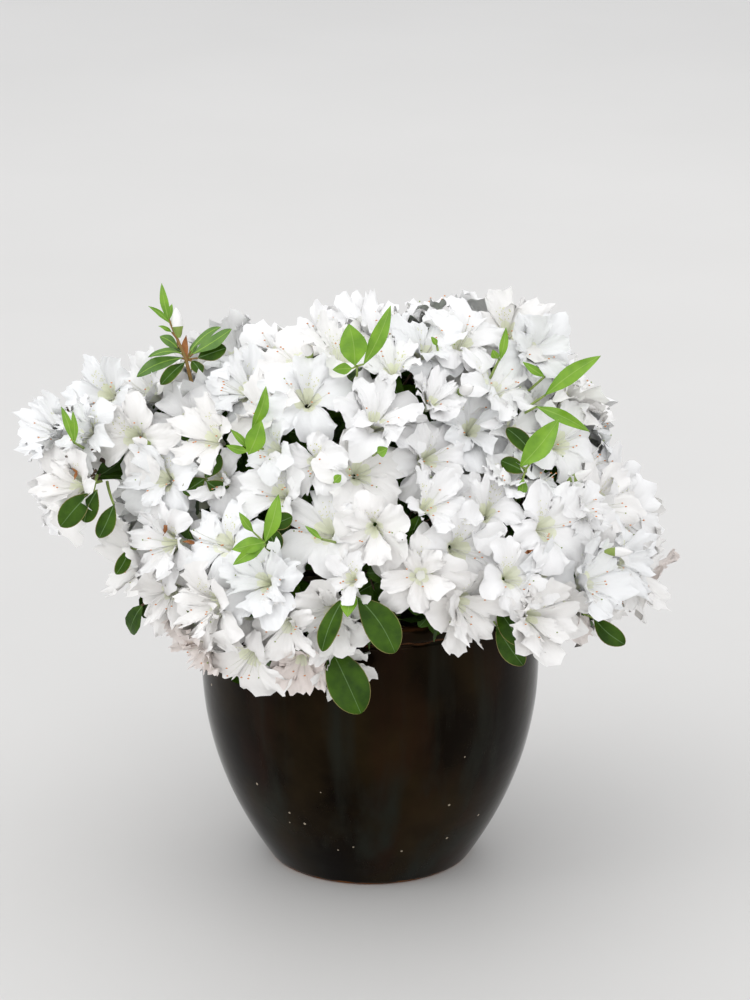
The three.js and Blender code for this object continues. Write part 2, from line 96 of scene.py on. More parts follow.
MASSES = [
    mass_of("top_right", (62, 24, 292), 110, 0, 200),
    mass_of("top_left", (-90, 14, 282), 98, 0, 200),
    mass_of("top_middle", (-10, -22, 296), 106, 0, 200),
    mass_of("centre", (16, -76, 248), 92, 1, 198),
    mass_of("left_tip", (-188, -16, 299), 53, 2, 200, (4, 40, -10)),
    mass_of("left_low", (-110, -28, 234), 74, 2, 196, (0, 0, 4)),
    mass_of("front_left", (-58, -74, 230), 88, 2, 162, (0, 0, 4)),
    mass_of("front_right", (84, -62, 234), 90, 2, 190, (0, 0, 4)),
    mass_of("right", (120, 6, 234), 92, 2, 172),
    mass_of("back_right", (56, 78, 248), 98, 1, 178),
    mass_of("back_left", (-60, 76, 248), 98, 1, 178),
]
MASS_GAP = 4 * GAP
CROWN_HEART = vec(0, 0, 225)
FIRST_SEED = 100
SEED_STEP = 10

# Where flowers may stand, by the source's rule
FLOWER = Named(lobes=5, radii=(31, 26, 22, 19), spacing=0.76, candidates=400, rim_share=0.8, sunk=6,
               tilt=0.3, lift=0.1, least_outward=-0.1, least_upward=-0.6, limb_clearance=6, base=0.8,
               twig_end=0.66)

# More flowers, which lean over the narrow gaps between the solids, and others in their shade
FILL = Named(radii=(31, 27, 23), spacing=0.6, sink=1, seed_offset=5)
SHADED = Named(radii=(29, 24), spacing=0.54, sink=13, seed_offset=7)
FULLER = 1.12

# Sprays of leaves by the source's rule, and what one leaf of theirs is like
LEAF = Named(length=42, shortest=0.8, vary=0.3, width_share=0.48, edge_rise=2.4, tip_drop=0.07,
             widest_at=0.55, thickness=1.8, candidates=90, reach=0.84, from_flower=22, spacing=34, most=2,
             count=3, fewest=2, least_outward=-0.5, spread=1.25, limb_clearance=3, pitch=3)


def shoot_of(out, *leaves, y=None):
    """A shoot that stands out of the crown by so much, or at a y. Each leaf has its root and its tip, right
    of the picture's middle and up from the pot's middle at the table, its width, how far its tip stands out,
    its arch and its look."""
    return Named(out=out, leaves=leaves, y=y)


# Shoots that show in the photograph. One that would start in the pot starts above and behind its leaves
SHOOT = Named(rise=22, back=6, stem_radii=(1.2, 0.8), stalk_radii=(0.8, 0.6), twist=0.15)
SHOOTS = [
    shoot_of(10, (-10, 340, -14, 368, 19, 6, 2, "young"), (-4, 341, 14, 380, 11, 8, 3, "young"),
             (-12, 338, -25, 337, 8, 6, 1, "young")),
    shoot_of(10, (-80, 297, -70, 326, 9, 4, 3, "young"), (-82, 280, -73, 303, 14, 8, 2, "young"),
             (-82, 284, -94, 297, 5, 8, 1, "young"), (-82, 282, -97, 286, 6, 8, 1, "young")),
    shoot_of(10, (-70, 221, -61, 253, 11, 5, 3, "young"), (-78, 228, -87, 241, 6, 8, 1, "young"),
             (-70, 221, -92, 216, 11, 8, 3, "young"), (-70, 219, -91, 206, 9, 10, 2, "young")),
    shoot_of(9, (102, 272, 128, 304, 17, 6, 2, "young"), (104, 264, 101, 250, 7, 3, 0, "young"),
             (112, 278, 93, 298, 12, -6, 1, "old"), (106, 268, 89, 276, 11, -8, 1, "old")),
    shoot_of(8, (120, 321, 158, 348, 12, 4, 3, "young")),
    shoot_of(6, (120, 334, 105, 344, 6, 3, 2, "young")),
    shoot_of(8, (114, 313, 150, 296, 9, 4, 12, "young")),
    shoot_of(10, (89, 345, 93, 367, 6, 3, 1, "young"), (88, 346, 84, 352, 6, 5, 1, "young")),
    shoot_of(9, (5, 281, 12, 284, 8, 6, 1, "young")),
    shoot_of(9, (-32, 223, -43, 232, 4, 5, 0, "young")),
    shoot_of(8, (46, 355, 42, 361, 4, 4, 0, "young")),
    shoot_of(8, (-24, 261, -19, 266, 6, 5, 0, "young")),
    shoot_of(8, (-203, 289, -211, 313, 6, 3, 1, "young"), (-202, 288, -203, 310, 5, 5, 1, "young")),
    shoot_of(3, (-192, 254, -212, 231, 17, 4, 3, "old"), (-187, 256, -196, 234, 15, -2, 3, "old")),
    shoot_of(3, (-176, 246, -186, 223, 13, 4, 2, "old")),
    shoot_of(0, (-8, 184, 17, 147, 24, 3, 3, "old"), (-13, 188, -15, 171, 12, 5, 2, "young"),
             (-17, 184, -32, 148, 14, 2, 4, "old"), y=-159),
    shoot_of(0, (-27, 150, -6, 105, 28, 6, 4, "old"), y=-141),
    shoot_of(0, (86, 178, 105, 151, 17, 8, 3, "old"), (86, 164, 104, 137, 16, 4, 3, "old"),
             (74, 168, 67, 156, 10, 4, 2, "old"), y=-128),
    shoot_of(0, (144, 172, 124, 148, 11, 5, 4, "old"), (154, 168, 175, 150, 14, 5, 3, "old"), y=-92),
    shoot_of(0, (-89, 185, -84, 161, 15, 5, 3, "old"), (-96, 184, -104, 166, 12, 2, 3, "old"), y=-112),
    shoot_of(0, (-124, 186, -117, 168, 12, 4, 2, "old"), y=-92),
    shoot_of(-4, (-166, 216, -175, 198, 10, 2, 2, "old")),
    shoot_of(-9, (-113, 264, -104, 282, 12, 2, 1, "old"), (-113, 264, -128, 254, 13, -1, 1, "old"),
             (-112, 262, -96, 254, 12, 0, 1, "old")),
    shoot_of(0, (-70, 232, -62, 214, 14, 3, 1, "old"), (-70, 232, -52, 238, 12, 0, 1, "old")),
]

# The leafy sprig at the upper left: its stem, its rosette, its upright young shoot and its closed bud
SPRIG = Named(
    mass=1, y=-6, radii=(1.6, 0.9), upwards=0.6, eyewards=0.8, twist=0.12, bud=(-133, 362, -135, 383, 8),
    stem=[(-124, 330), (-128, 347), (-134, 361), (-140, 375)], leaves=[
        (-134, 355, -146, 363, 8, 4, 2, "mid"), (-131, 351, -154, 348, 6, 10, 5, "mid"),
        (-131, 348, -162, 335, 10, 8, 3, "mid"), (-129, 345, -145, 329, 10, 12, 2, "old"),
        (-125, 353, -104, 370, 7, -4, 3, "mid"), (-123, 351, -96, 368, 10, 4, 2, "mid"),
        (-120, 348, -100, 355, 13, 2, 1, "old"), (-124, 346, -117, 337, 9, 10, 1, "old"),
        (-128, 347, -128, 364, 5, -2, 0, "withered"), (-126, 348, -121, 361, 5, -8, 0, "mid"),
        (-130, 352, -140, 356, 6, -12, 2, "old"), (-140, 374, -145, 400, 6, 2, 1, "young"),
        (-139, 372, -154, 384, 4, 4, 1, "young"), (-138, 366, -147, 370, 4, 6, 1, "young"),
        (-140, 374, -138, 386, 4, -4, 1, "young")])

# Withered bits and closed buds caught among the flowers, placed as the shoots are
WITHERED = [(-119, 221), (-140, 232), (-201, 268), (106, 214)]
WITHER = Named(sink=5, each=2, lengths=(5, 9), widths=(2, 3))
BUDS = [(-98, 300), (60, 322), (-40, 345), (135, 262), (20, 226), (-150, 286), (160, 214)]
BUD = Named(sink=4, twist=0.3, lengths=(14, 20), widths=(6, 8))

# Places in the picture that no flower stands before: right, up, how wide, and the y that flowers stay behind.
# They are the sprig's rosette, the lip at the front, and places just outside the crown's outline
ALWAYS = 300
KEPT_OPEN = [
    (-128, 350, 28, -6), (22, 146, 29, 0), (150, 358, 24, ALWAYS), (171, 320, 16, ALWAYS),
    (193, 277, 16, ALWAYS), (-95, 106, 15, ALWAYS), (-194, 209, 22, ALWAYS), (219, 232, 20, ALWAYS)]
OPEN_MARGIN = 12
SHADED_MARGIN = -6

# Flowers on the crown's rim and left side that the photograph shows: right, up, how far they lean to the eye,
# and their y, or none where they stand on the crown's front
SET_FLOWERS = [
    (-62, 361, 60, 12), (-34, 371, 60, 12), (-6, 374, 60, 12), (-224, 299, 170, -18), (-212, 256, 190, -24),
    (-186, 325, 170, None), (-160, 327, 150, None), (37, 358, 150, None), (65, 364, 150, None),
    (97, 371, 150, None), (116, 352, 170, None), (164, 249, 190, None), (177, 207, 190, None),
    (135, 291, 190, None), (-112, 294, 170, None), (-146, 264, 190, None), (-90, 328, 150, None),
    (-166, 292, 190, None)]
SET_RADIUS = 29
SET_SINK = 4

# One petal's mesh: how many points along it and across it, and how many rows are the throat
FULL = Named(rows=10, columns=25, throat=3)
PLAIN = Named(rows=7, columns=13, throat=2)

# A petal as shares of its flower's radius: how its middle runs out and up, as a curve's control points, how
# wide it opens, and its waves. Each wave has its phase's number, how often it turns across and along, and its
# height
PETAL = Named(
    out=(0.05, 0.15, 0.50, 1.0), rise=(-0.66, -0.26, 0.08), bunching=0.85, throat_half=43, opens=(0.3, 0.4),
    apex=(-0.03, 0.05), apex_width=0.22, corners=(0.42, 0.52), groove=0.05, groove_width=0.18, ribs=0.012,
    middle=0.14, phases=9,
    frill=[(0, 1.2, 0, 0.018), (1, 2.3, 0, 0.016), (7, 3.6, 0, 0.013)],
    ruffle_up=[(2, 0.6, 0.3, 0.55), (3, 1.2, -0.9, 0.5)], ruffle_out=[(5, 1.0, 0.6, 0.3), (8, 2.2, 0, 0.16)],
    crimp=[(4, 2.2, 1.4, 0.4), (7, 3.6, 2.1, 0.36)], sway=[(6, 0.4, 0.5, 1)])

# How far a flower's petals rise at the tips, how far they reach, how they curl, and how many are like that
MOODS = [
    Named(lift=(-0.30, 0.08), reach=1.0, curl=(-0.16, 0.12), share=0.68),
    Named(lift=(0.06, 0.36), reach=0.86, curl=(-0.05, 0.22), share=0.2),
    Named(lift=(-0.5, -0.2), reach=0.97, curl=(-0.24, 0.02), share=0.12),
]
OUTER = Named(reach=(-0.08, 0.06), lower_reach=0.06, lower_lift=0.06, turn=0.07, ruffle=(0.11, 0.19),
              half_angle=(35, 43), tilt=(-0.12, 0.2))
INNER = dict(reach=(0.56, 0.82), lift=(0, 0.36), ruffle=(0.12, 0.22), half_angle=(29, 40), curl=(-0.12, 0.24),
             tilt=(-0.2, 0.2))
INNER_SHARE = 0.5
INNER_COUNTS = (3, 6)
INNER_TURN = 0.14
INNER_RISE = 0.05
PETAL_STEP = TURN / FLOWER.lobes

# Flowers that face sideways get painted shade with a painted warm reflection below the one height, and a
# paler painted warm reflection, in cream, below the other
PAINTED_WARM_SHADE = Named(height=216, share=0.85)
PAINTED_CREAM_REFLECTION_HEIGHT = 240
SIDEWAYS = 0.4
COOL_SHARE = 0.3
CREAM_SHARE = 0.5
DROOPING = Named(height=215, by=0.25)

# Filaments as shares of the flower's radius, from the throat. The first one is the style
STAMEN = Named(counts=(4, 7), fan=1.7, style_reach=0.5, reach=(0.26, 0.46), rise=(-0.02, 0.16),
               foot=(0.04, 0.6), sag=0.2, forward=0.08, radii=(0.42, 0.26), sides=3)
STYLE_TIP = (0.7, 0.7, 0.7)
ANTHER = (0.95, 0.6, 0.6)

# Leaves by look: the share of the length where they are widest, how they round off, and their fold
LEAF_LOOKS = {
    "old": Named(kind="leaves_old", ribs="ribs_old", widest=0.58, rise=0.85, fall=2.2, blunt=0.6,
                 fold=(-0.14, 0.12)),
    "mid": Named(kind="leaves_mid", ribs="ribs_young", widest=0.55, rise=0.95, fall=1.9, blunt=0.75,
                 fold=(-0.1, 0.25)),
    "young": Named(kind="leaves_young", ribs="ribs_young", widest=0.48, rise=1.0, fall=1.7, blunt=0.9,
                   fold=(0.1, 0.4)),
    "withered": Named(kind="withered", ribs=None, widest=0.45, rise=1.0, fall=1.5, blunt=0.9,
                      fold=(0.3, 0.8)),
}
LEAF_COLUMNS = 5
LEAF_ROWS = 7
NEAR_ROWS = 13
LEAST_HALF_WIDTH = 0.25
LEAF_WAVE = Named(height=0.025, turns=1.5, sway=0.06)
RIB = Named(half_widths=(0.42, 0.16), height=0.25, above=0.05)
EDGE = Named(width=0.4, above=0.12)

# Where a leaf would show before a flower: above its petals, which slope down to its throat by this much
UNDER = Named(over=0.55, behind=0.3)

# The leaves of a spray, a flower's stalk as shares of its radius, the side twigs on its way, how far it
# leans and turns, and the leaves round the stalk and round a side twig
SPRAY_LEAF = Named(length_share=0.84, width_share=0.46, arch=(0, 3))
STALK = Named(foot=0.98, neck=0.7, radii=(0.9, 1.7), leaves=4, old_share=0.8)
SIDE_TWIGS = Named(at=(3, 5), reach=(8, 14), rise=3, radii=(0.8, 0.6), leaves=3)
SWAY = Named(lean=0.15, spin=0.4)
WHORL = Named(lean=(1.2, 1.8), lengths=(26, 38), old_widths=(0.46, 0.6), young_widths=(0.34, 0.44), turn=0.25)
SIDE_WHORL = dict(lean=(0.3, 1.1), lengths=(20, 34))

# Noise and bumps of a petal and of a leaf, along their length and across it
PETAL_SKIN = dict(bump=0.42, bump_distance=0.0009, veins=(16, 1.6, 1))
LEAF_SKIN = dict(bump=0.5, bump_distance=0.0006, veins=(5, 16, 1))


def look_of(slot, light, dark, roughness, scale, **relief):
    """A finish: its slot, two near colours, the roughness and the mottling's scale."""
    return slot, dict(light=light, dark=dark, roughness=roughness, scale=scale, **relief)


LOOKS = {
    "compost_top": look_of("compost", (0.06, 0.036, 0.021), (0.018, 0.011, 0.007), 0.95, 260, bump=1.0,
                           bump_scale=500, bump_distance=0.002),
    "petals_white": look_of("blossom", (0.955, 0.95, 0.945), (0.935, 0.93, 0.925), 0.6, 40, **PETAL_SKIN),
    "petals_cool": look_of("blossom", (0.935, 0.94, 0.94), (0.915, 0.92, 0.92), 0.6, 40, **PETAL_SKIN),
    "petals_cream": look_of("blossom", (0.945, 0.932, 0.912), (0.925, 0.91, 0.892), 0.6, 40, **PETAL_SKIN),
    # Darker, warmer petals: painted shade with a painted warm reflection, for low flowers that face sideways
    "petals_painted_warm_shade": look_of("blossom", (0.86, 0.80, 0.765), (0.82, 0.745, 0.705), 0.6, 40, **PETAL_SKIN),
    "throats": look_of("throat", (0.90, 0.915, 0.77), (0.875, 0.895, 0.70), 0.55, 50),
    "speckles": look_of("throat", (0.72, 0.72, 0.30), (0.62, 0.65, 0.24), 0.6, 80),
    "filaments": look_of("stamen", (0.92, 0.92, 0.86), (0.88, 0.88, 0.8), 0.4, 80),
    "anthers": look_of("anther", (0.80, 0.33, 0.12), (0.66, 0.27, 0.10), 0.6, 400),
    "leaves_young": look_of("young_leaf", (0.22, 0.43, 0.02), (0.14, 0.31, 0.012), 0.4, 90, **LEAF_SKIN),
    "leaves_mid": look_of("young_leaf", (0.13, 0.26, 0.035), (0.08, 0.19, 0.022), 0.34, 90, **LEAF_SKIN),
    "leaves_old": look_of("old_leaf", (0.047, 0.112, 0.004), (0.021, 0.057, 0.002), 0.42, 90, specular=0.15,
                          **LEAF_SKIN),
    "ribs_young": look_of("young_leaf", (0.30, 0.50, 0.07), (0.24, 0.42, 0.05), 0.45, 90),
    "ribs_old": look_of("old_leaf", (0.10, 0.20, 0.04), (0.07, 0.15, 0.03), 0.45, 90),
    "leaf_edges": look_of("young_leaf", (0.24, 0.25, 0.05), (0.2, 0.16, 0.04), 0.5, 90),
    "withered": look_of("twig", (0.42, 0.17, 0.05), (0.24, 0.09, 0.03), 0.8, 200),
    "twigs": look_of("twig", (0.20, 0.125, 0.075), (0.10, 0.062, 0.04), 0.8, 180, bump=0.6),
    "red_stems": look_of("twig", (0.36, 0.16, 0.05), (0.22, 0.16, 0.04), 0.6, 120),
    "green_twigs": look_of("young_leaf", (0.30, 0.40, 0.09), (0.22, 0.31, 0.06), 0.5, 120),
    "bark": look_of("bark", (0.21, 0.15, 0.10), (0.075, 0.052, 0.036), 0.85, 220, bump=0.8, bump_scale=420),
}
FLOOR_LOOK = dict(light=(0.66, 0.65, 0.632), dark=(0.645, 0.635, 0.617), roughness=0.6, scale=3, bump=0.05)
MOST_TRIANGLES = 190000

rng = np.random.default_rng(11)


def random_stream(seed):
    """The source's repeatable numbers from 0 to 1, by the same linear rule."""
    state = seed
    while True:
        state = (state * 1664525 + 1013904223) % 2 ** 32
        yield state / 2 ** 32


def pot_radius(z):
    z = np.asarray(z, float)
    to_belly = 1 - np.clip(z, 0, POT.belly_height) / POT.belly_height
    lower = POT.belly_radius - (POT.belly_radius - POT.foot_radius) * to_belly ** POT.swell
    rise = (z - POT.belly_height) / (POT.neck_height - POT.belly_height)
    upper = POT.belly_radius - (POT.belly_radius - POT.neck_radius) * np.clip(rise, 0, 1) ** 2
    return np.where(z < POT.belly_height, lower, upper)


def trunk_radius(share):
    share = np.asarray(share, float)
    flare = np.clip(1 - share * TRUNK.height / TRUNK.flare_height, 0, 1)
    shaft = TRUNK.neck_radius + (TRUNK.top_radius - TRUNK.neck_radius) * share
    return shaft + (TRUNK.flare_radius - TRUNK.neck_radius) * flare ** 2


TRUNK_FOOT = vec(0, 0, COMPOST.height + GAP)
TRUNK_TOP = vec(*TRUNK.lean, TRUNK_FOOT[2] + TRUNK.height)


def trunk_point(share):
    return TRUNK_FOOT + (TRUNK_TOP - TRUNK_FOOT) * np.asarray(share, float)[..., None]


def bough_control(mass):
    """The three control points of a mass's bough."""
    level = 1 - (BOUGH.top_inset + mass.tier * BOUGH.tier_pitch) / TRUNK.height
    root = trunk_point(level)
    side = unit((mass.centre - root + 2 * mass.bow) * [1, 1, 0])
    root = root + side * (trunk_radius(level) + 2 * GAP + BOUGH.root_inset * BOUGH.base_radius)
    entering = unit(mass.centre - root - mass.bow)
    tip = mass.centre - entering * (mass.reach * CORE_SHARE + BOUGH.before_core)
    middle = (root + tip) / 2 + mass.bow - [0, 0, (tip[2] - root[2]) / 4]
    return root, middle, tip


def bezier(controls, t):
    """Points on a curve with any number of control points."""
    t = np.asarray(t, float)
    degree = len(controls) - 1
    total = 0
    for k, control in enumerate(controls):
        weight = math.comb(degree, k) * t ** k * (1 - t) ** (degree - k)
        total = total + (weight[..., None] * control if np.ndim(control) else weight * control)
    return total


def bough_radius(share):
    return BOUGH.base_radius + (BOUGH.tip_radius - BOUGH.base_radius) * share


CENTRES = np.array([mass.centre for mass in MASSES])
REACHES = np.array([mass.reach for mass in MASSES], float)
OUTWARD = unit(CENTRES - CROWN_HEART)
BOUGHS = [bough_control(mass) for mass in MASSES]

along_trunk = np.linspace(0, 1, 13)
along_bough = np.linspace(0, 1, 25)
LIMB_POINTS = np.concatenate([trunk_point(along_trunk)] + [bezier(b, along_bough) for b in BOUGHS])
LIMB_RADII = np.concatenate([trunk_radius(along_trunk)] + [bough_radius(along_bough)] * len(MASSES))


def in_cell(points, i, gap=MASS_GAP):
    """Whether points are on mass i's side of each plane midway between its ball and another's."""
    power = ((points[..., None, :] - CENTRES) ** 2).sum(-1) - REACHES ** 2
    room = gap * length_of(CENTRES - CENTRES[i])
    beyond = power - power[..., i:i + 1] >= room
    return np.delete(beyond, i, axis=-1).all(-1)


def clear_of_pot(points):
    widest = np.maximum(pot_radius(points[..., 2]), POT.lip_radius)
    outside = np.hypot(points[..., 0], points[..., 1]) > widest + TWIG.pot_clearance
    return outside | (points[..., 2] > POT.height + TWIG.pot_clearance)


def clear_of_limbs(points, clearance):
    flat = points.reshape(-1, 3)
    squared = (flat ** 2).sum(1)[:, None] + (LIMB_POINTS ** 2).sum(1) - 2 * flat @ LIMB_POINTS.T
    clear = (squared > (LIMB_RADII + clearance) ** 2).all(1)
    return clear.reshape(points.shape[:-1])


def all_clear(points, i, clearance):
    return (in_cell(points, i) & clear_of_pot(points) & clear_of_limbs(points, clearance)).all(-1)


def between(a, b, count=9):
    share = np.linspace(0, 1, count)[:, None]
    return a[..., None, :] + (b - a)[..., None, :] * share


def twig_ways(i, ends):
    """For each end, the twig's three points, and the points along it that are looked at."""
    along = unit(ends - CENTRES[i])
    feet = CENTRES[i] + along * (REACHES[i] * CORE_SHARE * TWIG.foot_share)
    straight = between(feet, ends)
    direct = clear_of_pot(straight).all(-1)
    outwards = (POT.lip_radius + TWIG.over_lip) / np.hypot(ends[..., 0], ends[..., 1])
    elbows = ends * outwards[..., None]
    elbows[..., 2] = POT.height + TWIG.over_lip
    bent = np.concatenate([between(feet, elbows), between(elbows, ends)], axis=-2)
    middles = np.where(direct[..., None], (feet + ends) / 2, elbows)
    return np.stack([feet, middles, ends], axis=-2), straight, bent, direct


def ways_clear(i, ends):
    ways, straight, bent, direct = twig_ways(i, ends)
    straight_clear = all_clear(straight, i, TWIG.limb_clearance)
    return ways, np.where(direct, straight_clear, all_clear(bent, i, TWIG.limb_clearance))


def spread_directions(count, stream):
    """Directions spread evenly over a ball, each with four numbers of its own."""
    golden_angle = math.pi * (3 - math.sqrt(5))
    turn = next(stream) * TURN
    chance = np.array([[next(stream) for _ in range(4)] for _ in range(count)])
    index = np.arange(count)
    z = 1 - (2 * index + 1) / count
    flat = np.sqrt(1 - z * z)
    return polar(flat, turn + index * golden_angle, z), chance


def frames_along(axes, spin):
    """Rotations that take +z to each axis, spun about it. Columns are the frame's own axes."""
    turned = np.cross(UP, axes)
    cosine = axes[..., 2]
    skew = np.zeros(axes.shape[:-1] + (3, 3))
    for row, column, part in ((2, 1, 0), (0, 2, 1), (1, 0, 2)):
        skew[..., row, column], skew[..., column, row] = turned[..., part], -turned[..., part]
    turn = np.eye(3) + skew + skew @ skew / (1 + cosine)[..., None, None]
    spun = np.zeros_like(skew)
    spun[..., 0, 0] = spun[..., 1, 1] = np.cos(spin)
    spun[..., 1, 0] = np.sin(spin)
    spun[..., 0, 1] = -np.sin(spin)
    spun[..., 2, 2] = 1
    return turn @ spun


def flower_outline(radius):
    ring = polar(radius, np.arange(2 * FLOWER.lobes) * math.pi / FLOWER.lobes, 0)
    low = ring / 2 - UP * (FLOWER.base * radius / 2)
    return np.concatenate([[-UP * radius * FLOWER.base], ring, low])


def facing(i, directions, chance, radius, sink=0):
    """Where flowers in the given directions stand, which way they face, and their outlines."""
    level = math.sqrt(REACHES[i] ** 2 - (FLOWER.rim_share * radius) ** 2) - sink
    faces = CENTRES[i] + directions * (level - chance[:, 3:] * FLOWER.sunk)
    axes = (unit(faces - CROWN_HEART) + directions) / 2
    axes = unit(axes + (chance[:, :3] - [0.5, 0.5, 0.5 - FLOWER.lift]) * FLOWER.tilt)
    frames = frames_along(axes, chance[:, 3] * TURN)
    return faces, axes, faces[:, None] + flower_outline(radius) @ frames.transpose(0, 2, 1)


def flower_choices(i, tries, radius):
    """Every place where a flower of the given radius fits mass i's space."""
    directions, chance = tries
    outwardness = directions @ OUTWARD[i]
    wanted = (outwardness >= FLOWER.least_outward) & (directions[:, 2] >= FLOWER.least_upward)
    outwardness = outwardness[wanted]
    faces, axes, outline = facing(i, directions[wanted], chance[wanted], radius)
    ways, ok = ways_clear(i, faces - axes * radius * FLOWER.twig_end)
    ok &= (outline[..., 2] >= MASSES[i].hem).all(-1)
    ok &= all_clear(outline, i, FLOWER.limb_clearance)
    return faces[ok], axes[ok], ways[ok], outwardness[ok]


def place_flowers(i, stream):
    """The first flower faces outwards most, and each next one is the nearest that keeps its distance."""
    tries = spread_directions(FLOWER.candidates, stream)
    placed = []
    for radius in FLOWER.radii:
        faces, axes, ways, outwardness = flower_choices(i, tries, radius)
        free = np.ones(len(faces), bool)
        nearest = -outwardness
        for f in placed:
            away = length_of(faces - f.face)
            free &= away >= FLOWER.spacing * (radius + f.radius)
            nearest = away if f is placed[0] else np.minimum(nearest, away)
        while free.any():
            k = int(np.argmin(np.where(free, nearest, np.inf)))
            away = length_of(faces - faces[k])
            nearest = np.minimum(nearest, away) if placed else away
            free &= away >= FLOWER.spacing * 2 * radius
            placed.append(Named(face=faces[k], axis=axes[k], radius=radius, way=ways[k], mass=i))
    return placed


def fill_between(placed, rule):
    """More flowers by the same rule, which may lean over the narrow gaps between two masses."""
    added = []
    for i, mass in enumerate(MASSES):
        stream = random_stream(FIRST_SEED + SEED_STEP * i + rule.seed_offset)
        directions, chance = spread_directions(FLOWER.candidates, stream)
        outwards = directions @ OUTWARD[i] >= FLOWER.least_outward
        outwards &= directions[:, 2] >= FLOWER.least_upward
        for radius in rule.radii:
            faces, axes, outline = facing(i, directions, chance, radius, rule.sink)
            ok = outwards & in_cell(faces, i, 0) & clear_of_limbs(faces, FLOWER.limb_clearance)
            ok &= clear_of_pot(outline).all(-1) & (outline[..., 2] >= mass.hem).all(-1)
            ways = twig_ways(i, faces - axes * radius * FLOWER.twig_end)[0]
            for k in np.flatnonzero(ok):
                others = placed + added
                room = rule.spacing * np.array([radius + f.radius for f in others])
                away = length_of(np.array([f.face for f in others]) - faces[k])
                if (away >= room).all():
                    added.append(Named(face=faces[k], axis=axes[k], radius=radius, way=ways[k], mass=i))
    return added


def leaf_frame(along, up):
    """Columns: across the leaf, along it and out of its upper face."""
    across = np.cross(along, up)
    if np.dot(across, across) < 0.001:
        across = np.cross(along, [0, -0.6, 0.8])
    across = unit(across)
    return np.stack([across, along, np.cross(across, along)], axis=1)


def leaf_outline(leaf):
    half = LEAF.width_share * leaf.length / 2
    widest = LEAF.widest_at * leaf.length
    corners = np.array([
        [half, widest, LEAF.edge_rise],
        [-half, widest, LEAF.edge_rise],
        [0, widest, -LEAF.thickness / 2],
        [0, leaf.length, -LEAF.tip_drop * leaf.length],
    ])
    return leaf.root + corners @ leaf_frame(leaf.along, leaf.up).T


def spray_leaves(i, end, toward, length, turn):
    twig_along = unit(end - CENTRES[i])
    base = frames_along(toward, np.float64(turn * TURN))
    leaves = []
    for k in range(LEAF.count):
        angle = k * TURN / LEAF.count
        along = unit(base @ polar(LEAF.spread, angle, 1))
        leaf = Named(root=end - twig_along * LEAF.pitch * (k + 0.5), along=along, up=toward, length=length)
        if all_clear(leaf_outline(leaf), i, LEAF.limb_clearance):
            leaves.append(leaf)
    return leaves


def place_sprays(i, flowers, stream):
    """Leafy twigs where the blossom leaves room for them."""
    sprays = []
    for direction, chance in zip(*spread_directions(LEAF.candidates, stream)):
        if len(sprays) >= LEAF.most:
            break
        end = CENTRES[i] + direction * REACHES[i] * LEAF.reach
        crowded = direction @ OUTWARD[i] < LEAF.least_outward
        crowded |= any(length_of(f.face - end) < LEAF.from_flower for f in flowers)
        crowded |= any(length_of(s.end - end) < LEAF.spacing for s in sprays)
        way, ok = ways_clear(i, end)
        if crowded or not ok:
            continue
        length = LEAF.length * (LEAF.shortest + LEAF.vary * chance[0])
        leaves = spray_leaves(i, end, direction, length, chance[1])
        if len(leaves) >= LEAF.fewest:
            sprays.append(Named(end=end, way=way, leaves=leaves))
    return sprays


class Kind:
    """Everything of one colour and sort, gathered before it is made into joined meshes."""

    def __init__(self, slot):
        self.slot = slot
        self.parts = []

    def add(self, points, faces, uv=None):
        points = np.asarray(points, float).reshape(-1, 3)
        uv = np.zeros((len(points), 2)) if uv is None else uv.reshape(-1, 2)
        self.parts.append((points, np.asarray(faces, int), uv))

    def batches(self):
        batch, count = [], 0
        for part in self.parts:
            triangles = len(part[1]) * (part[1].shape[1] - 2)
            if batch and count + triangles > MOST_TRIANGLES:
                yield batch
                batch, count = [], 0
            batch.append(part)
            count += triangles
        if batch:
            yield batch


def grid_faces(rows, columns, around=False):
    """Quads of a grid of points, joined round its columns or not."""
    index = np.arange(rows * columns).reshape(rows, columns)
    if around:
        index = np.concatenate([index, index[:, :1]], axis=1)
    low, high = index[:-1], index[1:]
    return np.stack([low[:, :-1], high[:, :-1], high[:, 1:], low[:, 1:]], axis=-1).reshape(-1, 4)


def turns(count):
    """Angles evenly round a circle."""
    return np.arange(count) * TURN / count


def sweep(points, radii, sides):
    """A tube's points along a way, and its quads. A radius is a number, or one for each side."""
    along = unit(np.gradient(points, axis=0))
    aside = vec(1, 0, 0) if abs(along[0][0]) < 0.8 else vec(0, 1, 0)
    angle = turns(sides)
    rings = []
    for point, direction, radius in zip(points, along, radii):
        across = unit(np.cross(direction, aside))
        over = np.cross(direction, across)
        ring = np.cos(angle)[:, None] * across + np.sin(angle)[:, None] * over
        rings.append(point + ring * np.broadcast_to(radius, (sides,))[:, None])
        aside = np.cross(across, direction)
    return np.concatenate(rings), grid_faces(len(points), sides, around=True)


def make_mesh(name, batch):
    points = np.concatenate([p for p, _, _ in batch]) * MM
    starts = np.cumsum([0] + [len(p) for p, _, _ in batch[:-1]])
    corners = np.concatenate([(f + s).ravel() for (_, f, _), s in zip(batch, starts)])
    sizes = np.concatenate([np.full(len(f), f.shape[1]) for _, f, _ in batch])
    uv = np.concatenate([t for _, _, t in batch])[corners]
    mesh = bpy.data.meshes.new(name)
    mesh.vertices.add(len(points))
    mesh.vertices.foreach_set("co", points.astype(np.float32).ravel())
    mesh.loops.add(len(corners))
    mesh.loops.foreach_set("vertex_index", corners.astype(np.int32))
    mesh.polygons.add(len(sizes))
    mesh.polygons.foreach_set("loop_start", np.concatenate([[0], np.cumsum(sizes)[:-1]]).astype(np.int32))
    mesh.update(calc_edges=True)
    mesh.polygons.foreach_set("use_smooth", np.ones(len(sizes), bool))
    mesh.uv_layers.new(name="along").data.foreach_set("uv", uv.astype(np.float32).ravel())
    mesh.validate()
    return mesh


